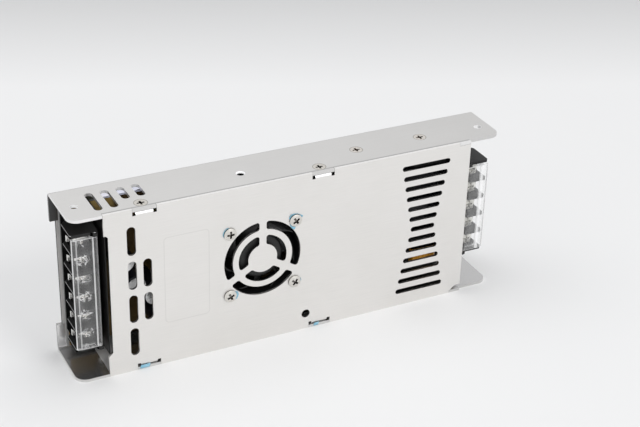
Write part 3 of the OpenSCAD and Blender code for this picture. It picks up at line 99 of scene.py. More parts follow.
# Painted light on the base's edge between the ears at the output end, under the board, and painted shade on
# the upper ear
BASE_LIP_X = (LEFT_X + 0.0020, LEFT_X + 0.0060)
BASE_LIP_Z = (0.0142, 0.0673)
EAR_X, EAR_Z = LEFT_X + 0.005, (0.058, 0.062)
# A painted reflection on the lower wall, seen under the barrier inside the cover's corner
WALL_PATCH_X = (cover_lo.x + 0.0003, cover_lo.x + 0.012)
# The walls lose a little light from here to the input end
WALL_DIM_X = (-0.03, RIGHT_X)
# The ends of the output block's fins, and their upper edges with a painted highlight
FIN_END_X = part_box("output_terminal_block")[0].x + 0.0007
FIN_TOP_Z, FIN_PITCH, FIN_EDGE = 0.01575, 0.0095, (0.00025, 0.0004)

# The weave of the board, its sawn end, and the painted shade behind the fan
WEAVE = (0.15, 0.4)
BOARD_END_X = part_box("circuit_board")[0].x + 0.001
fan_lo, fan_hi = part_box("fan_rotor")
FAN_X, FAN_Z = (fan_lo.x + fan_hi.x) / 2, (fan_lo.z + fan_hi.z) / 2
FAN_SHADE = (0.022, 0.030)

# The flaps' pin ends, bend line and knuckle, as the source has them, and the light along rim and lines
FLAP_PIN, FLAP_BEND, FLAP_KNUCKLE = 0.001425, 0.002, 0.0022
FLAP_RIM, FLAP_LINE = (0.0001, 0.0003), (0.00005, 0.00025)
# Curled glints on the output flap, one group a way, and a stripe of painted glare on the input flap
CURL_DROP, CURL_PITCH, CURL_IN = 0.0013, 0.00905, 0.0046
CURL_HALF = (0.0036, 0.0030)
CURL_LINE, CURL_PATCH = (0.012, 0.05), (0.5, 1.0)
BAND_STARTS, BAND_ENDS = (0.0026, 0.0028), (0.0041, 0.0044)


def grey(v):
    return (v, v, v)


def opaque(colour):
    """A colour with full alpha; a socket stays as it is."""
    return colour if hasattr(colour, "is_output") else (*colour, 1)


class Paint:
    """A node material under construction, with all textures in the row frame's metres."""

    def __init__(self, name):
        self.mat = bpy.data.materials.new(name)
        self.mat.use_nodes = True
        self.tree = self.mat.node_tree
        self.shader = self.tree.nodes["Principled BSDF"]
        self.coords = self.add("ShaderNodeTexCoord").outputs["Object"]

    def add(self, kind, **props):
        made = self.tree.nodes.new(kind)
        for key, value in props.items():
            setattr(made, key, value)
        return made

    def put(self, socket, value):
        if hasattr(value, "is_output"):
            self.tree.links.new(value, socket)
        else:
            socket.default_value = value

    def set(self, **inputs):
        for key, value in inputs.items():
            self.put(self.shader.inputs[key.replace("_", " ")], value)

    def parts(self, vector):
        made = self.add("ShaderNodeSeparateXYZ")
        self.put(made.inputs[0], vector)
        return list(made.outputs)

    @cached_property
    def at(self):
        """The three coordinates of a point of the surface."""
        return self.parts(self.coords)

    @cached_property
    def normal(self):
        """The surface normal's parts along the three axes."""
        return self.parts(self.add("ShaderNodeNewGeometry").outputs["True Normal"])

    def noise(self, size, detail=4, stretch=(1, 1, 1), rough=0.55, curl=0.0):
        """Noise whose features are about this size in metres, longer along an axis with a stretch over 1."""
        scaled = self.add("ShaderNodeVectorMath", operation="MULTIPLY")
        self.put(scaled.inputs[0], self.coords)
        scaled.inputs[1].default_value = [1 / (size * s) for s in stretch]
        made = self.add("ShaderNodeTexNoise")
        self.put(made.inputs["Vector"], scaled.outputs[0])
        for key, value in (("Scale", 1.0), ("Detail", detail), ("Roughness", rough), ("Distortion", curl)):
            made.inputs[key].default_value = value
        return made.outputs["Fac"]

    def spread(self, fac, low, high, start=0.3, end=0.7):
        """A number from low to high as fac goes from start to end."""
        made = self.add("ShaderNodeMapRange")
        self.put(made.inputs["Value"], fac)
        for key, value in (("From Min", start), ("From Max", end), ("To Min", low), ("To Max", high)):
            made.inputs[key].default_value = value
        return made.outputs["Result"]

    def ramp(self, fac, low, high, start=0.3, end=0.7):
        """A colour from low to high as fac goes from start to end."""
        made = self.add("ShaderNodeValToRGB")
        self.put(made.inputs["Fac"], fac)
        for stop, place, colour in zip(made.color_ramp.elements, (start, end), (low, high)):
            stop.position = place
            stop.color = opaque(colour)
        return made.outputs["Color"]

    def mix(self, fac, a, b):
        """Colour a, turning into b as fac goes from 0 to 1."""
        # The colour sockets of the mix node have no names of their own, only these places
        made = self.add("ShaderNodeMix", data_type="RGBA")
        self.put(made.inputs[0], fac)
        self.put(made.inputs[6], opaque(a))
        self.put(made.inputs[7], opaque(b))
        return made.outputs[2]

    def math(self, operation, a, b=0.0):
        made = self.add("ShaderNodeMath", operation=operation)
        self.put(made.inputs[0], a)
        self.put(made.inputs[1], b)
        return made.outputs[0]

    def over(self, value, limit):
        return self.math("GREATER_THAN", value, limit)

    def under(self, value, limit):
        return self.math("LESS_THAN", value, limit)

    def between(self, value, low, high):
        return self.all_of(self.over(value, low), self.under(value, high))

    def all_of(self, *masks):
        """The product of masks and strengths."""
        return reduce(lambda a, b: self.math("MULTIPLY", a, b), masks)

    def any_of(self, *masks):
        """The strongest of some masks."""
        return reduce(lambda a, b: self.math("MAXIMUM", a, b), masks)

    def size(self, value):
        return self.math("ABSOLUTE", value)

    def away(self, value, place):
        """How far a value is from a place, either way."""
        return self.size(self.math("SUBTRACT", value, place))

    def squares(self, a, b):
        return self.math("ADD", self.math("MULTIPLY", a, a), self.math("MULTIPLY", b, b))

    def from_line(self, place, axes=(X, Y)):
        """Distance in metres from the line that crosses the plane of two axes at a place."""
        parts = [self.math("SUBTRACT", self.at[axis], middle) for axis, middle in zip(axes, place)]
        return self.math("SQRT", self.squares(*parts))

    def frame_line(self, centre, half, corner):
        """Distance in metres from the outline of a round-cornered box on the cover's face."""
        past = []
        for axis, middle, side in zip((X, Z), centre, half):
            away = self.away(self.at[axis], middle)
            past.append(self.any_of(self.math("SUBTRACT", away, side - corner), 0))
        return self.away(self.math("SQRT", self.squares(*past)), corner)

    def by_slots(self, limits):
        """Near 1 high up under the slots of the upper wall."""
        return self.all_of(self.between(self.at[X], *limits), self.spread(self.at[Z], 0, 1, *SLOT_LIT_Z))

    def open_to_air(self, reach):
        """Near 1 where the surface lies open, lower in corners and recesses within this reach in metres."""
        made = self.add("ShaderNodeAmbientOcclusion", samples=6)
        made.inputs["Distance"].default_value = reach
        return made.outputs["AO"]

    def bump(self, height, depth, strength=1.0):
        """Bump of this depth in metres."""
        made = self.add("ShaderNodeBump")
        self.put(made.inputs["Height"], height)
        made.inputs["Distance"].default_value = depth
        made.inputs["Strength"].default_value = strength
        self.set(Normal=made.outputs["Normal"])


SHEET_METALLIC = 0.92


def sheet_metal(name, low, high, rough):
    """Plain rolled sheet: a faint grain along the length, clouding and small handling marks."""
    p = Paint(name)
    grain = p.noise(0.00035, detail=3, stretch=(40, 1, 1))
    cloud = p.noise(0.03, detail=3)
    marks = p.noise(0.004, detail=6, rough=0.7)
    tone = p.mix(p.spread(grain, 0, 0.12), p.ramp(cloud, low, high), grey(0.62))
    p.set(Metallic=SHEET_METALLIC)
    p.bump(grain, depth=0.000004)
    scuffs = p.spread(marks, 0, 0.06, 0.55, 0.75)
    return p, tone, p.math("ADD", p.spread(grain, rough - 0.05, rough + 0.05), scuffs)


def cover_sheet():
    """The cover's sheet, with one faint etched frame, painted shade on punched edges, and painted highlights
    on the rolled top edge and the tab bends.
    """
    p, tone, rough = sheet_metal("cover_sheet", (0.795, 0.780, 0.755), (0.82, 0.805, 0.785), 0.46)
    x, y, z = p.at
    etched = p.spread(p.frame_line(*ETCHED_BOX), 0.22, 0, *ETCHED_LINE)
    tone = p.mix(etched, tone, (0.5, 0.49, 0.47))
    # Painted shade on punched edges that lie in a recess
    side_on = p.under(p.size(p.normal[Y]), 0.3)
    recess = p.spread(p.open_to_air(PUNCHED_REACH), 1, 0, *PUNCHED_AIR)
    low_tab = p.spread(p.over(x, 0), 0.55, 0.2, 0, 1)
    punched = p.all_of(side_on, recess, p.any_of(low_tab, p.spread(z, 0, 1, *LOW_TAB_Z)))
    tone = p.mix(punched, tone, grey(0.015))
    # Painted highlight along the rolled top edge
    rolled = p.all_of(p.over(p.normal[Z], SQUARELY), p.over(z, TOP_Z), 0.4)
    tone = p.mix(rolled, tone, grey(0.97))
    # Painted highlight on the tab bends that face up
    upward, outward = p.spread(p.normal[Z], 0, 1, 0.1, 0.3), p.spread(p.normal[Y], 1, 0, -0.7, -0.5)
    bend = p.all_of(upward, outward, p.under(y, TAB_BEND_Y))
    p.set(Base_Color=p.mix(bend, tone, grey(0.97)), Roughness=rough)
    return p.mat


def chassis_sheet():
    """The chassis sheet: plain outside, smoother inside and painted darker there as shade, with painted shade
    and painted light in places.
    """
    p, tone, rough = sheet_metal("chassis_sheet", (0.68, 0.673, 0.662), (0.715, 0.708, 0.697), 0.40)
    x, y, z = p.at
    normal_x, normal_y, normal_z = p.normal
    upper = p.over(z, MIDDLE_Z)
    inside = p.under(p.all_of(normal_z, p.math("SUBTRACT", z, MIDDLE_Z)), -0.01)
    deep = p.over(y, BASE_IN_Y)
    base = p.all_of(deep, p.under(normal_y, MOSTLY))
    cut_ends = p.all_of(deep, p.over(p.size(normal_x), MOSTLY))
    seam_shade = p.all_of(p.between(x, cover_lo.x, cover_hi.x), p.between(y, *SEAM_Y), 0.6)
    thread = p.spread(p.from_line(TAP_HOLE), 1, 0, *TAP_RADIUS)

    shades = [
        # Painted shade on the inner faces of the walls
        (inside, (0.60, 0.60, 0.605)),
        # Painted shade on the base's inner face deep in the case
        (base, (0.42, 0.415, 0.41)),
        # Painted shade on the upper ear's inner face, under the upper wall
        (p.all_of(base, p.spread(z, 0, 0.75, *EAR_Z), p.under(x, EAR_X)), grey(0.10)),
        (cut_ends, grey(0.12)),
        # The cut edge between the ears lies back from the ends
        (p.all_of(cut_ends, p.over(x, BASE_LIP_X[0])), grey(0.02)),
        (p.spread(x, 0, 0.35, *WALL_DIM_X), (0.52, 0.515, 0.51)),
        # Painted shade on the wall strip behind the cover's edge
        (seam_shade, grey(0.33)),
    ]
    for screw in SCREWS:
        off_ring = p.away(p.from_line(screw), SINK_RADIUS)
        shades.append((p.all_of(upper, p.spread(off_ring, 0.75, 0, *SINK_RING)), (0.20, 0.18, 0.14)))
    # Painted shade down the tapped holes
    shades.append((thread, grey(0.02)))
    for mask, colour in shades:
        tone = p.mix(mask, tone, colour)

    lit = [
        # Painted highlights in the mouths of the tapped holes
        p.all_of(thread, p.over(p.away(z, MIDDLE_Z), MIDDLE_Z - TAP_MOUTH)),
        # Painted light from the slots on the corner behind them, and on the slots' own ends
        p.all_of(p.by_slots(FILM_LIT_X), p.over(y, CORNER_Y),
                 p.under(p.math("ADD", normal_y, normal_z), -SLIGHTLY)),
        p.all_of(p.between(x, *SLOT_ENDS_X), p.under(normal_y, -PARTLY), p.over(y, 0),
                 p.spread(z, 0, 0.75, *WALL_IN_Z)),
        # Painted light on the base's edge between the ears, and on the lower ear
        p.all_of(p.between(x, *BASE_LIP_X), p.between(z, *BASE_LIP_Z), deep, p.under(normal_y, -SQUARELY),
                 0.7),
        p.all_of(base, p.under(x, BASE_LIP_X[1]), p.under(z, BASE_LIP_Z[0]), 0.35),
        # Painted reflection on the lower wall inside the cover's corner
        p.all_of(inside, p.between(x, *WALL_PATCH_X), p.under(z, MIDDLE_Z), 0.6),
        # Painted highlights on the rim round the upper wall's output end, and on the notch at its input end
        p.all_of(p.under(p.math("MINIMUM", normal_x, normal_y), -SLIGHTLY), p.over(z, WALL_IN_Z[1]),
                 p.under(x, cover_lo.x), 0.45),
        p.all_of(upper, p.between(x, *NOTCH_X), p.under(y, SEAM_Y[0]), 0.4),
    ]
    # Painted highlights inside the end holes
    for hole in END_HOLES:
        lit.append(p.all_of(upper, p.spread(p.from_line(hole), 0.8, 0, *END_HOLE_RADIUS)))
    lit = p.any_of(*lit)
    p.set(Base_Color=p.mix(lit, tone, grey(0.98)), Metallic=p.spread(lit, SHEET_METALLIC, 0.1, 0, 1))
    p.set(Roughness=p.math("SUBTRACT", rough, p.all_of(inside, 0.20)))
    return p.mat


def bright_metal(name, low, high, rough, grain=0.0004, dirt_and_shade=grey(0.03), reach=0.0012, metal=1.0,
                 dents=0.000006, shade=(0.3, 0.85)):
    """Plated steel or tinned metal with fine machining marks, and recesses darkened by grime and painted
    shade.
    """
    p = Paint(name)
    fine = p.noise(grain, detail=3)
    # Grime and painted shade in recesses, found by ambient occlusion
    recess = p.spread(p.open_to_air(reach), 1, 0, *shade)
    p.set(Base_Color=p.mix(recess, p.ramp(fine, low, high), dirt_and_shade), Metallic=metal)
    p.set(Roughness=p.spread(fine, rough - 0.06, rough + 0.08))
    p.bump(fine, dents)
    return p.mat


def moulded(name, low, high, rough, grain=0.0005, depth=0.00001, specular=0.5):
    """Moulded plastic, resin or laminate: a fine texture and slow tone changes."""
    p = Paint(name)
    fine = p.noise(grain, detail=2)
    cloud = p.noise(0.012, detail=3)
    p.set(Base_Color=p.ramp(p.all_of(p.math("ADD", fine, cloud), 0.5), low, high, 0.35, 0.65))
    p.set(Roughness=p.spread(fine, rough - 0.06, rough + 0.06), Specular_IOR_Level=specular)
    p.bump(fine, depth)
    return p.mat


def block_moulding():
    """Black moulding with a soft gloss, painted darker without gloss as shade in the case and the wire
    pockets, with painted highlights on upper fin edges.
    """
    p = Paint("black_moulding")
    x, _, z = p.at
    fine = p.noise(0.0005, detail=2)
    # Painted shade: the wire pockets and the block inside the case
    pocket_shade = p.any_of(p.over(p.size(p.normal[X]), SQUARELY), p.between(x, cover_lo.x, cover_hi.x))
    tone = p.mix(pocket_shade, p.ramp(fine, grey(0.010), grey(0.016), 0.35, 0.65), grey(0.004))
    # Painted highlight along the upper edges of the fins' ends
    off_top = p.math("PINGPONG", p.math("SUBTRACT", z, FIN_TOP_Z), FIN_PITCH / 2)
    fin_ends = p.all_of(p.under(x, FIN_END_X), p.under(p.normal[X], -SLIGHTLY))
    tone = p.mix(p.all_of(fin_ends, p.spread(off_top, 1, 0, *FIN_EDGE)), tone, grey(0.50))
    p.set(Base_Color=tone, Roughness=p.spread(fine, 0.40, 0.52))
    output_tops = p.all_of(p.over(p.normal[Z], SQUARELY), p.under(x, 0), 0.65)
    p.set(Specular_IOR_Level=p.spread(p.any_of(pocket_shade, output_tops), 0.35, 0.0, 0, 1))
    p.bump(fine, depth=0.00001)
    return p.mat


def curled_glints(p, inward, top, strength):
    """Curled lines of light in a round patch at each way of the output flap."""
    curl = p.away(p.noise(0.0040, detail=0, curl=1.6), 0.5)
    down = p.math("PINGPONG", p.math("SUBTRACT", top - CURL_DROP, p.at[Z]), CURL_PITCH / 2)
    across = p.math("SUBTRACT", inward, CURL_IN)
    patch = p.squares(p.math("DIVIDE", across, CURL_HALF[0]), p.math("DIVIDE", down, CURL_HALF[1]))
    return p.all_of(p.spread(curl, strength, 0, *CURL_LINE), p.spread(patch, 1, 0, *CURL_PATCH))


def clear_moulded(name, node, towards_hinge, rim, bend, knuckle, curls=0.0, glare_band=0.0):
    """Clear moulded plastic: faint flow marks, and light gathered along the rim, the bend and the hinge."""
    p = Paint(name)
    lo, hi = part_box(node)
    free_edge = lo.x if towards_hinge > 0 else hi.x
    inward = p.all_of(p.math("SUBTRACT", p.at[X], free_edge), towards_hinge)
    end = (hi.z - lo.z) / 2 - FLAP_PIN
    off_middle = p.away(p.at[Z], (lo.z + hi.z) / 2)
    lines = [p.spread(inward, rim, 0, *FLAP_RIM),
             p.spread(off_middle, 0, rim, end - FLAP_RIM[1], end - FLAP_RIM[0])]
    for place, strength in ((FLAP_BEND, bend), (hi.x - lo.x - FLAP_KNUCKLE, knuckle)):
        lines.append(p.spread(p.away(inward, place), strength, 0, *FLAP_LINE))
    end_face = p.over(p.size(p.normal[Z]), SQUARELY)
    light = p.all_of(p.any_of(*lines), p.spread(end_face, 1, 0.35, 0, 1))
    if curls:
        light = p.any_of(light, curled_glints(p, inward, hi.z - FLAP_PIN, curls))
    # A stripe of painted glare near the flap's free edge
    if glare_band:
        glare_stripe = p.all_of(p.spread(inward, 0, glare_band, *BAND_STARTS), p.spread(inward, 1, 0, *BAND_ENDS))
        light = p.any_of(light, glare_stripe)
    flow = p.noise(0.004, detail=3, stretch=(1, 1, 3))
    scratch = p.noise(0.0006, detail=3, stretch=(1, 1, 12))
    slant = p.add("ShaderNodeLayerWeight")
    slant.inputs["Blend"].default_value = 0.3
    body = p.math("ADD", p.spread(flow, 0.035, 0.075), p.all_of(slant.outputs["Fresnel"], 0.25))
    p.set(Base_Color=p.ramp(flow, grey(0.86), grey(0.94)), Alpha=p.any_of(body, light))
    p.set(Roughness=p.spread(scratch, 0.05, 0.16, 0.5, 0.75), IOR=1.49)
    p.bump(flow, depth=0.00002, strength=0.4)
    return p.mat


def laminate():
    """The board: brown resin with weave and clouding, painted light by the slots, painted shade at the fan,
    with sawn edges.
    """
    p = Paint("board_laminate")
    x = p.at[X]
    weave = p.all_of(*(p.noise(0.0005, detail=2, stretch=along) for along in ((8, 1, 1), (1, 1, 8))))
    tone = p.ramp(p.noise(0.009, detail=3), (0.11, 0.065, 0.020), (0.17, 0.11, 0.035))
    tone = p.mix(p.spread(weave, 0, 0.25, *WEAVE), tone, (0.26, 0.19, 0.08))
    # Painted light on the board under the slots, dim again past a point
    by_slot = p.mix(p.spread(x, 0, 1, *BOARD_DIM_X), (0.33, 0.23, 0.07), (0.06, 0.035, 0.010))
    tone = p.mix(p.by_slots(BOARD_LIT_X), tone, by_slot)
    # Painted shade on the board round the fan
    from_fan = p.from_line((FAN_X, FAN_Z), (X, Z))
    tone = p.mix(p.spread(from_fan, 1, 0, *FAN_SHADE), tone, (0.012, 0.010, 0.006))
    # Painted light on the sawn edge under the slots
    lit_edge = p.all_of(p.over(p.normal[Z], MOSTLY), p.between(x, *FILM_LIT_X))
    sawn = p.mix(lit_edge, (0.22, 0.22, 0.215), (0.66, 0.68, 0.76))
    face = p.all_of(p.over(p.size(p.normal[Y]), MOSTLY), p.over(x, BOARD_END_X))
    p.set(Base_Color=p.mix(face, sawn, tone), Roughness=p.spread(weave, 0.42, 0.6, *WEAVE))
    p.bump(weave, depth=0.00002)
    return p.mat


def insulating_film():
    """Milky film on the base: painted pale and glowing with the light that comes in by the upper slots,
    painted dim elsewhere.
    """
    p = Paint("insulating_film")
    fine = p.noise(0.0005, detail=2)
    lit = p.by_slots(FILM_LIT_X)
    pale = p.ramp(fine, (0.72, 0.74, 0.82), (0.78, 0.80, 0.87), 0.35, 0.65)
    # Painted light and a painted glow where the slots' light falls, painted shade elsewhere
    p.set(Base_Color=p.mix(lit, (0.10, 0.11, 0.09), pale), Roughness=p.spread(fine, 0.34, 0.46))
    p.set(Emission_Color=opaque((0.80, 0.82, 0.95)), Emission_Strength=p.spread(lit, 0, 0.75, 0, 1))
    return p.mat


def sleeved_can(name, sleeve, axis, bare):
    """A sleeved can whose bare end, blotched between two greys, faces back along an axis."""
    p = Paint(name)
    fine = p.noise(0.0006, detail=3)
    metal = p.ramp(p.noise(0.0028, detail=3), grey(bare[0]), grey(bare[1]), 0.36, 0.5)
    plastic = p.ramp(p.noise(0.004, detail=2), sleeve, [c * 1.6 for c in sleeve])
    end = p.under(p.normal[axis], -FULLY)
    p.set(Base_Color=p.mix(end, plastic, metal), Metallic=p.all_of(end, 0.35))
    p.set(Roughness=p.spread(fine, 0.30, 0.42), Specular_IOR_Level=0.2)
    p.bump(fine, depth=0.00001)
    return p.mat


def wound_tape(name, low, high):
    """Layers of tape: soft bands round the coil and small creases."""
    p = Paint(name)
    crease = p.noise(0.0012, detail=4, stretch=(1, 1, 3))
    p.set(Base_Color=p.ramp(crease, low, high), Roughness=p.spread(crease, 0.2, 0.36), Coat_Weight=0.3)
    p.bump(crease, depth=0.00012)
    return p.mat


PAINTS = [
    (cover_sheet(), ["cover"]),
    (chassis_sheet(), ["chassis"]),
    (bright_metal("plated_screws", (0.62, 0.60, 0.56), (0.78, 0.76, 0.72), rough=0.34,
                  dirt_and_shade=(0.016, 0.010, 0.006), reach=0.002, shade=(0.55, 0.97)),
     ["fan_screws", "fan_shaft", "board_standoffs", "board_screws", "device_screws"]),
    (bright_metal("bar_screw_plating", (0.62, 0.58, 0.53), (0.80, 0.77, 0.73), rough=0.30,
                  dirt_and_shade=(0.16, 0.10, 0.06), reach=0.0016),
     ["bar_screws"]),
    (bright_metal("passivated_screws", (0.60, 0.575, 0.53), (0.74, 0.715, 0.67), rough=0.34,
                  dirt_and_shade=(0.03, 0.024, 0.012), reach=0.0016),
     ["cover_screws"]),
    (bright_metal("tinned_contacts", (0.70, 0.69, 0.66), (0.90, 0.89, 0.87), rough=0.20, grain=0.0011,
                  dirt_and_shade=(0.05, 0.045, 0.03), reach=0.0006, metal=0.9, dents=0.00012),
     ["output_contacts", "output_clamps", "output_terminal_screws", "fuse_clips"]),
    (bright_metal("pale_tinned_contacts", (0.66, 0.65, 0.58), (0.90, 0.89, 0.85), rough=0.34, grain=0.0011,
                  dirt_and_shade=(0.07, 0.06, 0.03), reach=0.0008, metal=0.5, dents=0.00008),
     ["input_contacts", "input_clamps", "input_terminal_screws"]),
    (bright_metal("bar_aluminium", (0.66, 0.66, 0.67), (0.78, 0.78, 0.79), rough=0.38, grain=0.0009),
     ["input_heat_bar", "output_heat_bar"]),
    (bright_metal("copper_wire", (0.55, 0.24, 0.10), (0.75, 0.38, 0.18), rough=0.22),
     ["output_inductor_winding", "fan_stator", "fan_bearing"]),
    (bright_metal("fuse_tube", (0.5, 0.5, 0.48), (0.66, 0.66, 0.64), rough=0.2), ["fuse"]),
    (block_moulding(),
     ["output_terminal_block", "input_terminal_block", "transformer_bobbin", "choke_bobbin"]),
    (moulded("fan_moulding", grey(0.004), grey(0.008), rough=0.40, specular=0.3), ["fan_frame"]),
    (moulded("rotor_moulding", grey(0.010), grey(0.016), rough=0.38, specular=0.35), ["fan_rotor"]),
    (moulded("barrier_sheet", grey(0.007), grey(0.012), rough=0.45, grain=0.0008, specular=0.25),
     ["terminal_barrier", "wall_insulator"]),
    (moulded("device_resin", grey(0.008), grey(0.014), rough=0.5, specular=0.15),
     ["switching_transistors", "bridge_rectifier", "output_rectifiers", "control_chips"]),
    (moulded("ferrite", grey(0.010), grey(0.018), rough=0.62, grain=0.0003, depth=0.00003, specular=0.2),
     ["transformer_core", "choke_core"]),
    (moulded("powder_core", (0.42, 0.33, 0.06), (0.55, 0.46, 0.12), rough=0.45), ["output_inductor_core"]),
    (moulded("thermal_pad", (0.30, 0.38, 0.46), (0.38, 0.46, 0.54), rough=0.7), ["device_pads"]),
    (moulded("film_box", (0.008, 0.008, 0.010), (0.014, 0.014, 0.016), rough=0.5, specular=0.1),
     ["film_capacitor"]),
    (moulded("blue_resin", (0.03, 0.09, 0.28), (0.05, 0.13, 0.36), rough=0.3),
     ["safety_capacitors", "output_trimmer"]),
    (moulded("green_resin", (0.015, 0.022, 0.015), (0.025, 0.035, 0.025), rough=0.5), ["inrush_thermistor"]),
    (moulded("ivory_moulding", (0.66, 0.62, 0.50), (0.74, 0.70, 0.58), rough=0.45), ["fan_connector"]),
    (insulating_film(), ["base_insulator"]),
    (wound_tape("amber_tape", (0.50, 0.21, 0.015), (0.68, 0.34, 0.04)),
     ["transformer_winding", "choke_winding"]),
    (clear_moulded("clear_output_cover", "output_terminal_cover", towards_hinge=1, rim=0.75, bend=0.45,
                   knuckle=0.7, curls=0.55),
     ["output_terminal_cover"]),
    (clear_moulded("clear_input_cover", "input_terminal_cover", towards_hinge=-1, rim=0.55, bend=0.15,
                   knuckle=0.12, glare_band=0.65),
     ["input_terminal_cover"]),
    (laminate(), ["circuit_board"]),
    (sleeved_can("output_can", (0.012, 0.012, 0.016), axis=Y, bare=(0.30, 0.92)), ["output_capacitors"]),
    (sleeved_can("bulk_can", (0.003, 0.003, 0.004), axis=X, bare=(0.02, 0.05)), ["bulk_capacitors"]),
]
for mat, names in PAINTS:
    for name in names:
        mesh = nodes[name].data
        mesh.materials.clear()
        mesh.materials.append(mat)
        mesh.polygons.foreach_set("material_index", [0] * len(mesh.polygons))

WELD_REACH = 1e-6
SHARP_ANGLE = math.radians(30)


def soften(name, width):
    """Fine round edges on a CAD node."""
    made = nodes[name]
    joined = made.modifiers.new("weld", "WELD")
    joined.merge_threshold = WELD_REACH
    edge = made.modifiers.new("edges", "BEVEL")
    edge.width = width
    edge.segments = 2
    edge.limit_method = "ANGLE"
    edge.angle_limit = SHARP_ANGLE


for name in ("output_terminal_block", "input_terminal_block"):
    soften(name, width=0.00015)
for name in ("output_clamps", "input_clamps", "output_contacts", "input_contacts"):
    soften(name, width=0.00012)

# Scraps of protective film that were left under the screws and along the lower tabs, with sizes in mm: how far
# a scrap's two faces lie off the cover, its least width, how far it curls up, and the radius of a screw head
BLUE_FILM = moulded("protective_film", (0.17, 0.42, 0.57), (0.34, 0.60, 0.72), rough=0.34, grain=0.0015,
                    depth=0.00004)
FILM_GAPS, FILM_LEAST = (0.10, 0.02), 0.06
ARC_CURL, STRIP_CURL = 0.16, 0.10
HEAD_R = 3.04
# Steps of the mesh along and across a scrap
ARC_STEPS, STRIP_STEPS, CROSS_STEPS = 36, 12, 4


def film(name, rows):
    """A scrap of thin film: rows of points across it, each with X and Z in mm and its lift off the face."""
    columns = len(rows[0])
    made = bmesh.new()
    layers = []
    for gap in FILM_GAPS:
        layers.append([[made.verts.new((x * MM, FACE_Y - (lift + gap) * MM, z * MM)) for x, z, lift in row]
                       for row in rows])
    front, back = layers
    for i in range(len(rows) - 1):
        for j in range(columns - 1):
            made.faces.new((front[i][j], front[i + 1][j], front[i + 1][j + 1], front[i][j + 1]))
            made.faces.new((back[i][j], back[i][j + 1], back[i + 1][j + 1], back[i + 1][j]))
    bottom, right = len(rows) - 1, columns - 1
    rim = [(i, 0) for i in range(len(rows))] + [(bottom, j) for j in range(1, columns)]
    rim += [(i, right) for i in range(bottom - 1, -1, -1)] + [(0, j) for j in range(right - 1, 0, -1)]
    for (i, j), (k, m) in zip(rim, rim[1:] + rim[:1]):
        made.faces.new((front[i][j], back[i][j], back[k][m], front[k][m]))
    bmesh.ops.recalc_face_normals(made, faces=made.faces)
    for face in made.faces:
        face.smooth = True
    mesh = bpy.data.meshes.new(name)
    made.to_mesh(mesh)
    made.free()
    mesh.materials.append(BLUE_FILM)
    piece = bpy.data.objects.new(name, mesh)
    bpy.context.scene.collection.objects.link(piece)
    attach(piece, "case")


def film_arc(name, centre, edge):
    """A torn scrap round a fan screw, from its head out to an edge of turns in degrees and radii in mm."""
    rows = []
    first, last = edge[0][0], edge[-1][0]
    for i in range(ARC_STEPS + 1):
        turn = first + (last - first) * i / ARC_STEPS
        outer = next(r0 + (r1 - r0) * (turn - a0) / (a1 - a0)
                     for (a0, r0), (a1, r1) in zip(edge, edge[1:]) if turn <= a1 + 1e-6)
        outer += 0.05 * math.sin(turn * 0.37) + 0.04 * math.sin(turn * 0.91)
        width = max(outer, HEAD_R + FILM_LEAST) - HEAD_R
        curl = ARC_CURL * (1.2 + math.sin(turn * 0.11))
        a = math.radians(turn)
        row = []
        for j in range(CROSS_STEPS + 1):
            u = j / CROSS_STEPS
            r = HEAD_R + width * u
            row.append((centre[0] + r * math.cos(a), centre[1] + r * math.sin(a), curl * u ** 2))
        rows.append(row)
    film(name, rows)


def film_strip(name, x0, x1, z0, z1):
    """A torn scrap along a tab, uneven at its ends."""
    rows = []
    for i in range(STRIP_STEPS + 1):
        t = i / STRIP_STEPS
        ragged = 0.35 * math.sin(9 * t + 1) + 0.2 * math.sin(23 * t)
        curl = STRIP_CURL * (1 + math.sin(5 * t))
        row = []
        for j in range(CROSS_STEPS + 1):
            u = j / CROSS_STEPS
            row.append((x0 + (x1 - x0 + ragged) * t + 0.5 * u, z0 + (z1 - z0) * u, curl * u))
        rows.append(row)
    film(name, rows)


film_arc("film_upper_left", (-33.5, 59.5), [(98, 3.2), (112, 3.5), (180, 3.45), (202, 3.2)])
film_arc("film_upper_right", (-1.5, 59.5), [(18, 3.2), (27, 4.1), (36, 3.5), (60, 3.25), (90, 3.3), (110, 3.6),
                                            (131, 4.0), (150, 3.7), (165, 3.2)])
film_arc("film_upper_right_low", (-1.5, 59.5), [(205, 3.15), (225, 3.6), (250, 4.3), (264, 4.7), (272, 3.3)])
film_arc("film_lower_left", (-33.5, 27.5), [(-42, 3.2), (-30, 3.8), (0, 4.15), (25, 3.9), (37, 3.2)])
film_arc("film_lower_right", (-1.5, 27.5), [(-26, 3.2), (0, 3.45), (26, 3.2)])
film_strip("film_left_tab", x0=-77.4, x1=-72.6, z0=0.35, z1=2.2)
film_strip("film_middle_tab", x0=9.0, x1=11.5, z0=0.35, z1=2.0)


def look_from(target, azimuth, elevation, roll, distance, lens):
    """The camera at the photograph's viewing angle, rolled a little about its own axis."""
    a, e, r = (math.radians(v) for v in (azimuth, elevation, roll))
    back = Vector((math.sin(a) * math.cos(e), -math.cos(a) * math.cos(e), math.sin(e)))
    right = Vector((math.cos(a), math.sin(a), 0))
    up = back.cross(right)
    right, up = right * math.cos(r) + up * math.sin(r), up * math.cos(r) - right * math.sin(r)
    data = bpy.data.cameras.new("camera")
    data.lens = lens
    data.sensor_width = 36
    data.clip_start, data.clip_end = 0.01, 50
    cam = bpy.data.objects.new("camera", data)
    bpy.context.scene.collection.objects.link(cam)
    turned = Matrix((right, up, back)).transposed().to_4x4()
    cam.matrix_world = Matrix.Translation(Vector(target) + back * distance) @ turned
    bpy.context.scene.camera = cam


# The way from the camera into the picture, along the floor, and how far off the floor starts and ends to dim
INTO_PICTURE = (0.379, 0.925)
FLOOR_DIMS = (0.27, 0.42)
FLOOR_HALF = 6.0


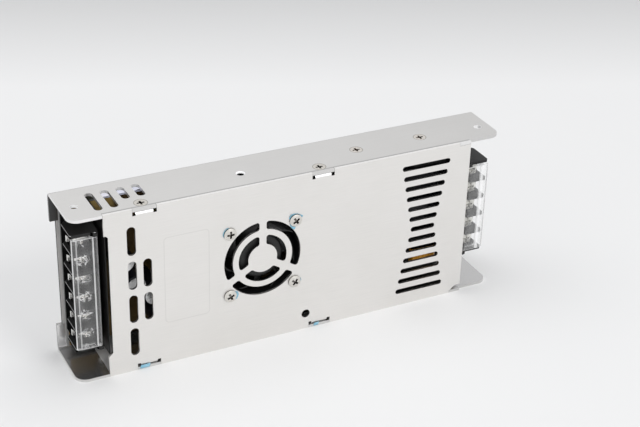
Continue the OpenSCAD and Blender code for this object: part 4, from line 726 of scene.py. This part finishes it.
def floor():
    """A pale floor that falls off a little in tone well behind the object."""
    p = Paint("pale_floor")
    near = p.ramp(p.noise(0.4, detail=2), grey(0.80), grey(0.815))
    behind = p.math("ADD", *(p.all_of(p.at[axis], share) for axis, share in zip((X, Y), INTO_PICTURE)))
    p.set(Base_Color=p.mix(p.spread(behind, 0, 1, *FLOOR_DIMS), near, grey(0.62)))
    p.set(Roughness=0.85, Specular_IOR_Level=0.15)
    mesh = bpy.data.meshes.new("floor")
    corners = [(x * FLOOR_HALF, y * FLOOR_HALF, 0) for x, y in ((-1, -1), (1, -1), (1, 1), (-1, 1))]
    mesh.from_pydata(corners, [], [(0, 1, 2, 3)])
    mesh.materials.append(p.mat)
    made = bpy.data.objects.new("floor", mesh)
    bpy.context.scene.collection.objects.link(made)


def world(light, backdrop):
    """Even studio light, and a pale backdrop for the rays that show it."""
    made = bpy.data.worlds.new("studio")
    bpy.context.scene.world = made
    made.use_nodes = True
    tree = made.node_tree
    back = tree.nodes["Background"]
    rays = tree.nodes.new("ShaderNodeLightPath")
    seen = rays.outputs["Is Camera Ray"]
    for name in ("Is Glossy Ray", "Is Transmission Ray"):
        joined = tree.nodes.new("ShaderNodeMath")
        joined.operation = "MAXIMUM"
        tree.links.new(seen, joined.inputs[0])
        tree.links.new(rays.outputs[name], joined.inputs[1])
        seen = joined.outputs[0]
    blend = tree.nodes.new("ShaderNodeMix")
    blend.data_type = "RGBA"
    tree.links.new(seen, blend.inputs[0])
    blend.inputs[6].default_value = opaque(light)
    blend.inputs[7].default_value = opaque(backdrop)
    tree.links.new(blend.outputs[2], back.inputs["Color"])
    back.inputs["Strength"].default_value = 1.0


def softbox(name, place, aim, size, power):
    """A rectangular lamp at a place, turned to its aim."""
    data = bpy.data.lights.new(name, "AREA")
    data.shape = "RECTANGLE"
    data.size, data.size_y = size
    data.energy = power
    made = bpy.data.objects.new(name, data)
    bpy.context.scene.collection.objects.link(made)
    made.location = place
    made.rotation_mode = "QUATERNION"
    made.rotation_quaternion = (Vector(aim) - Vector(place)).to_track_quat("-Z", "Y")


look_from(target=(10.74 * MM, -14.35 * MM, 60.16 * MM), azimuth=-27.301, elevation=28.685, roll=1.776,
          distance=670.92 * MM, lens=83.49)
floor()
world(light=(0.66, 0.665, 0.675), backdrop=(0.85, 0.85, 0.853))
softbox("key_right", place=(1.4, -3.1, 2.5), aim=(0, 0, 0.04), size=(1.7, 1.4), power=54)
softbox("front_fill", place=(-1.5, -3.0, 2.4), aim=(0, 0, 0.04), size=(0.9, 0.7), power=21)
softbox("left_fill", place=(-0.60, 0.40, 0.95), aim=(-0.15, 0.10, 0), size=(0.7, 0.6), power=1.3)
softbox("top_fill", place=(0.7, 0.5, 3.6), aim=(0, 0, 0), size=(3.2, 2.4), power=20)

bpy.context.scene.view_settings.view_transform = "Standard"
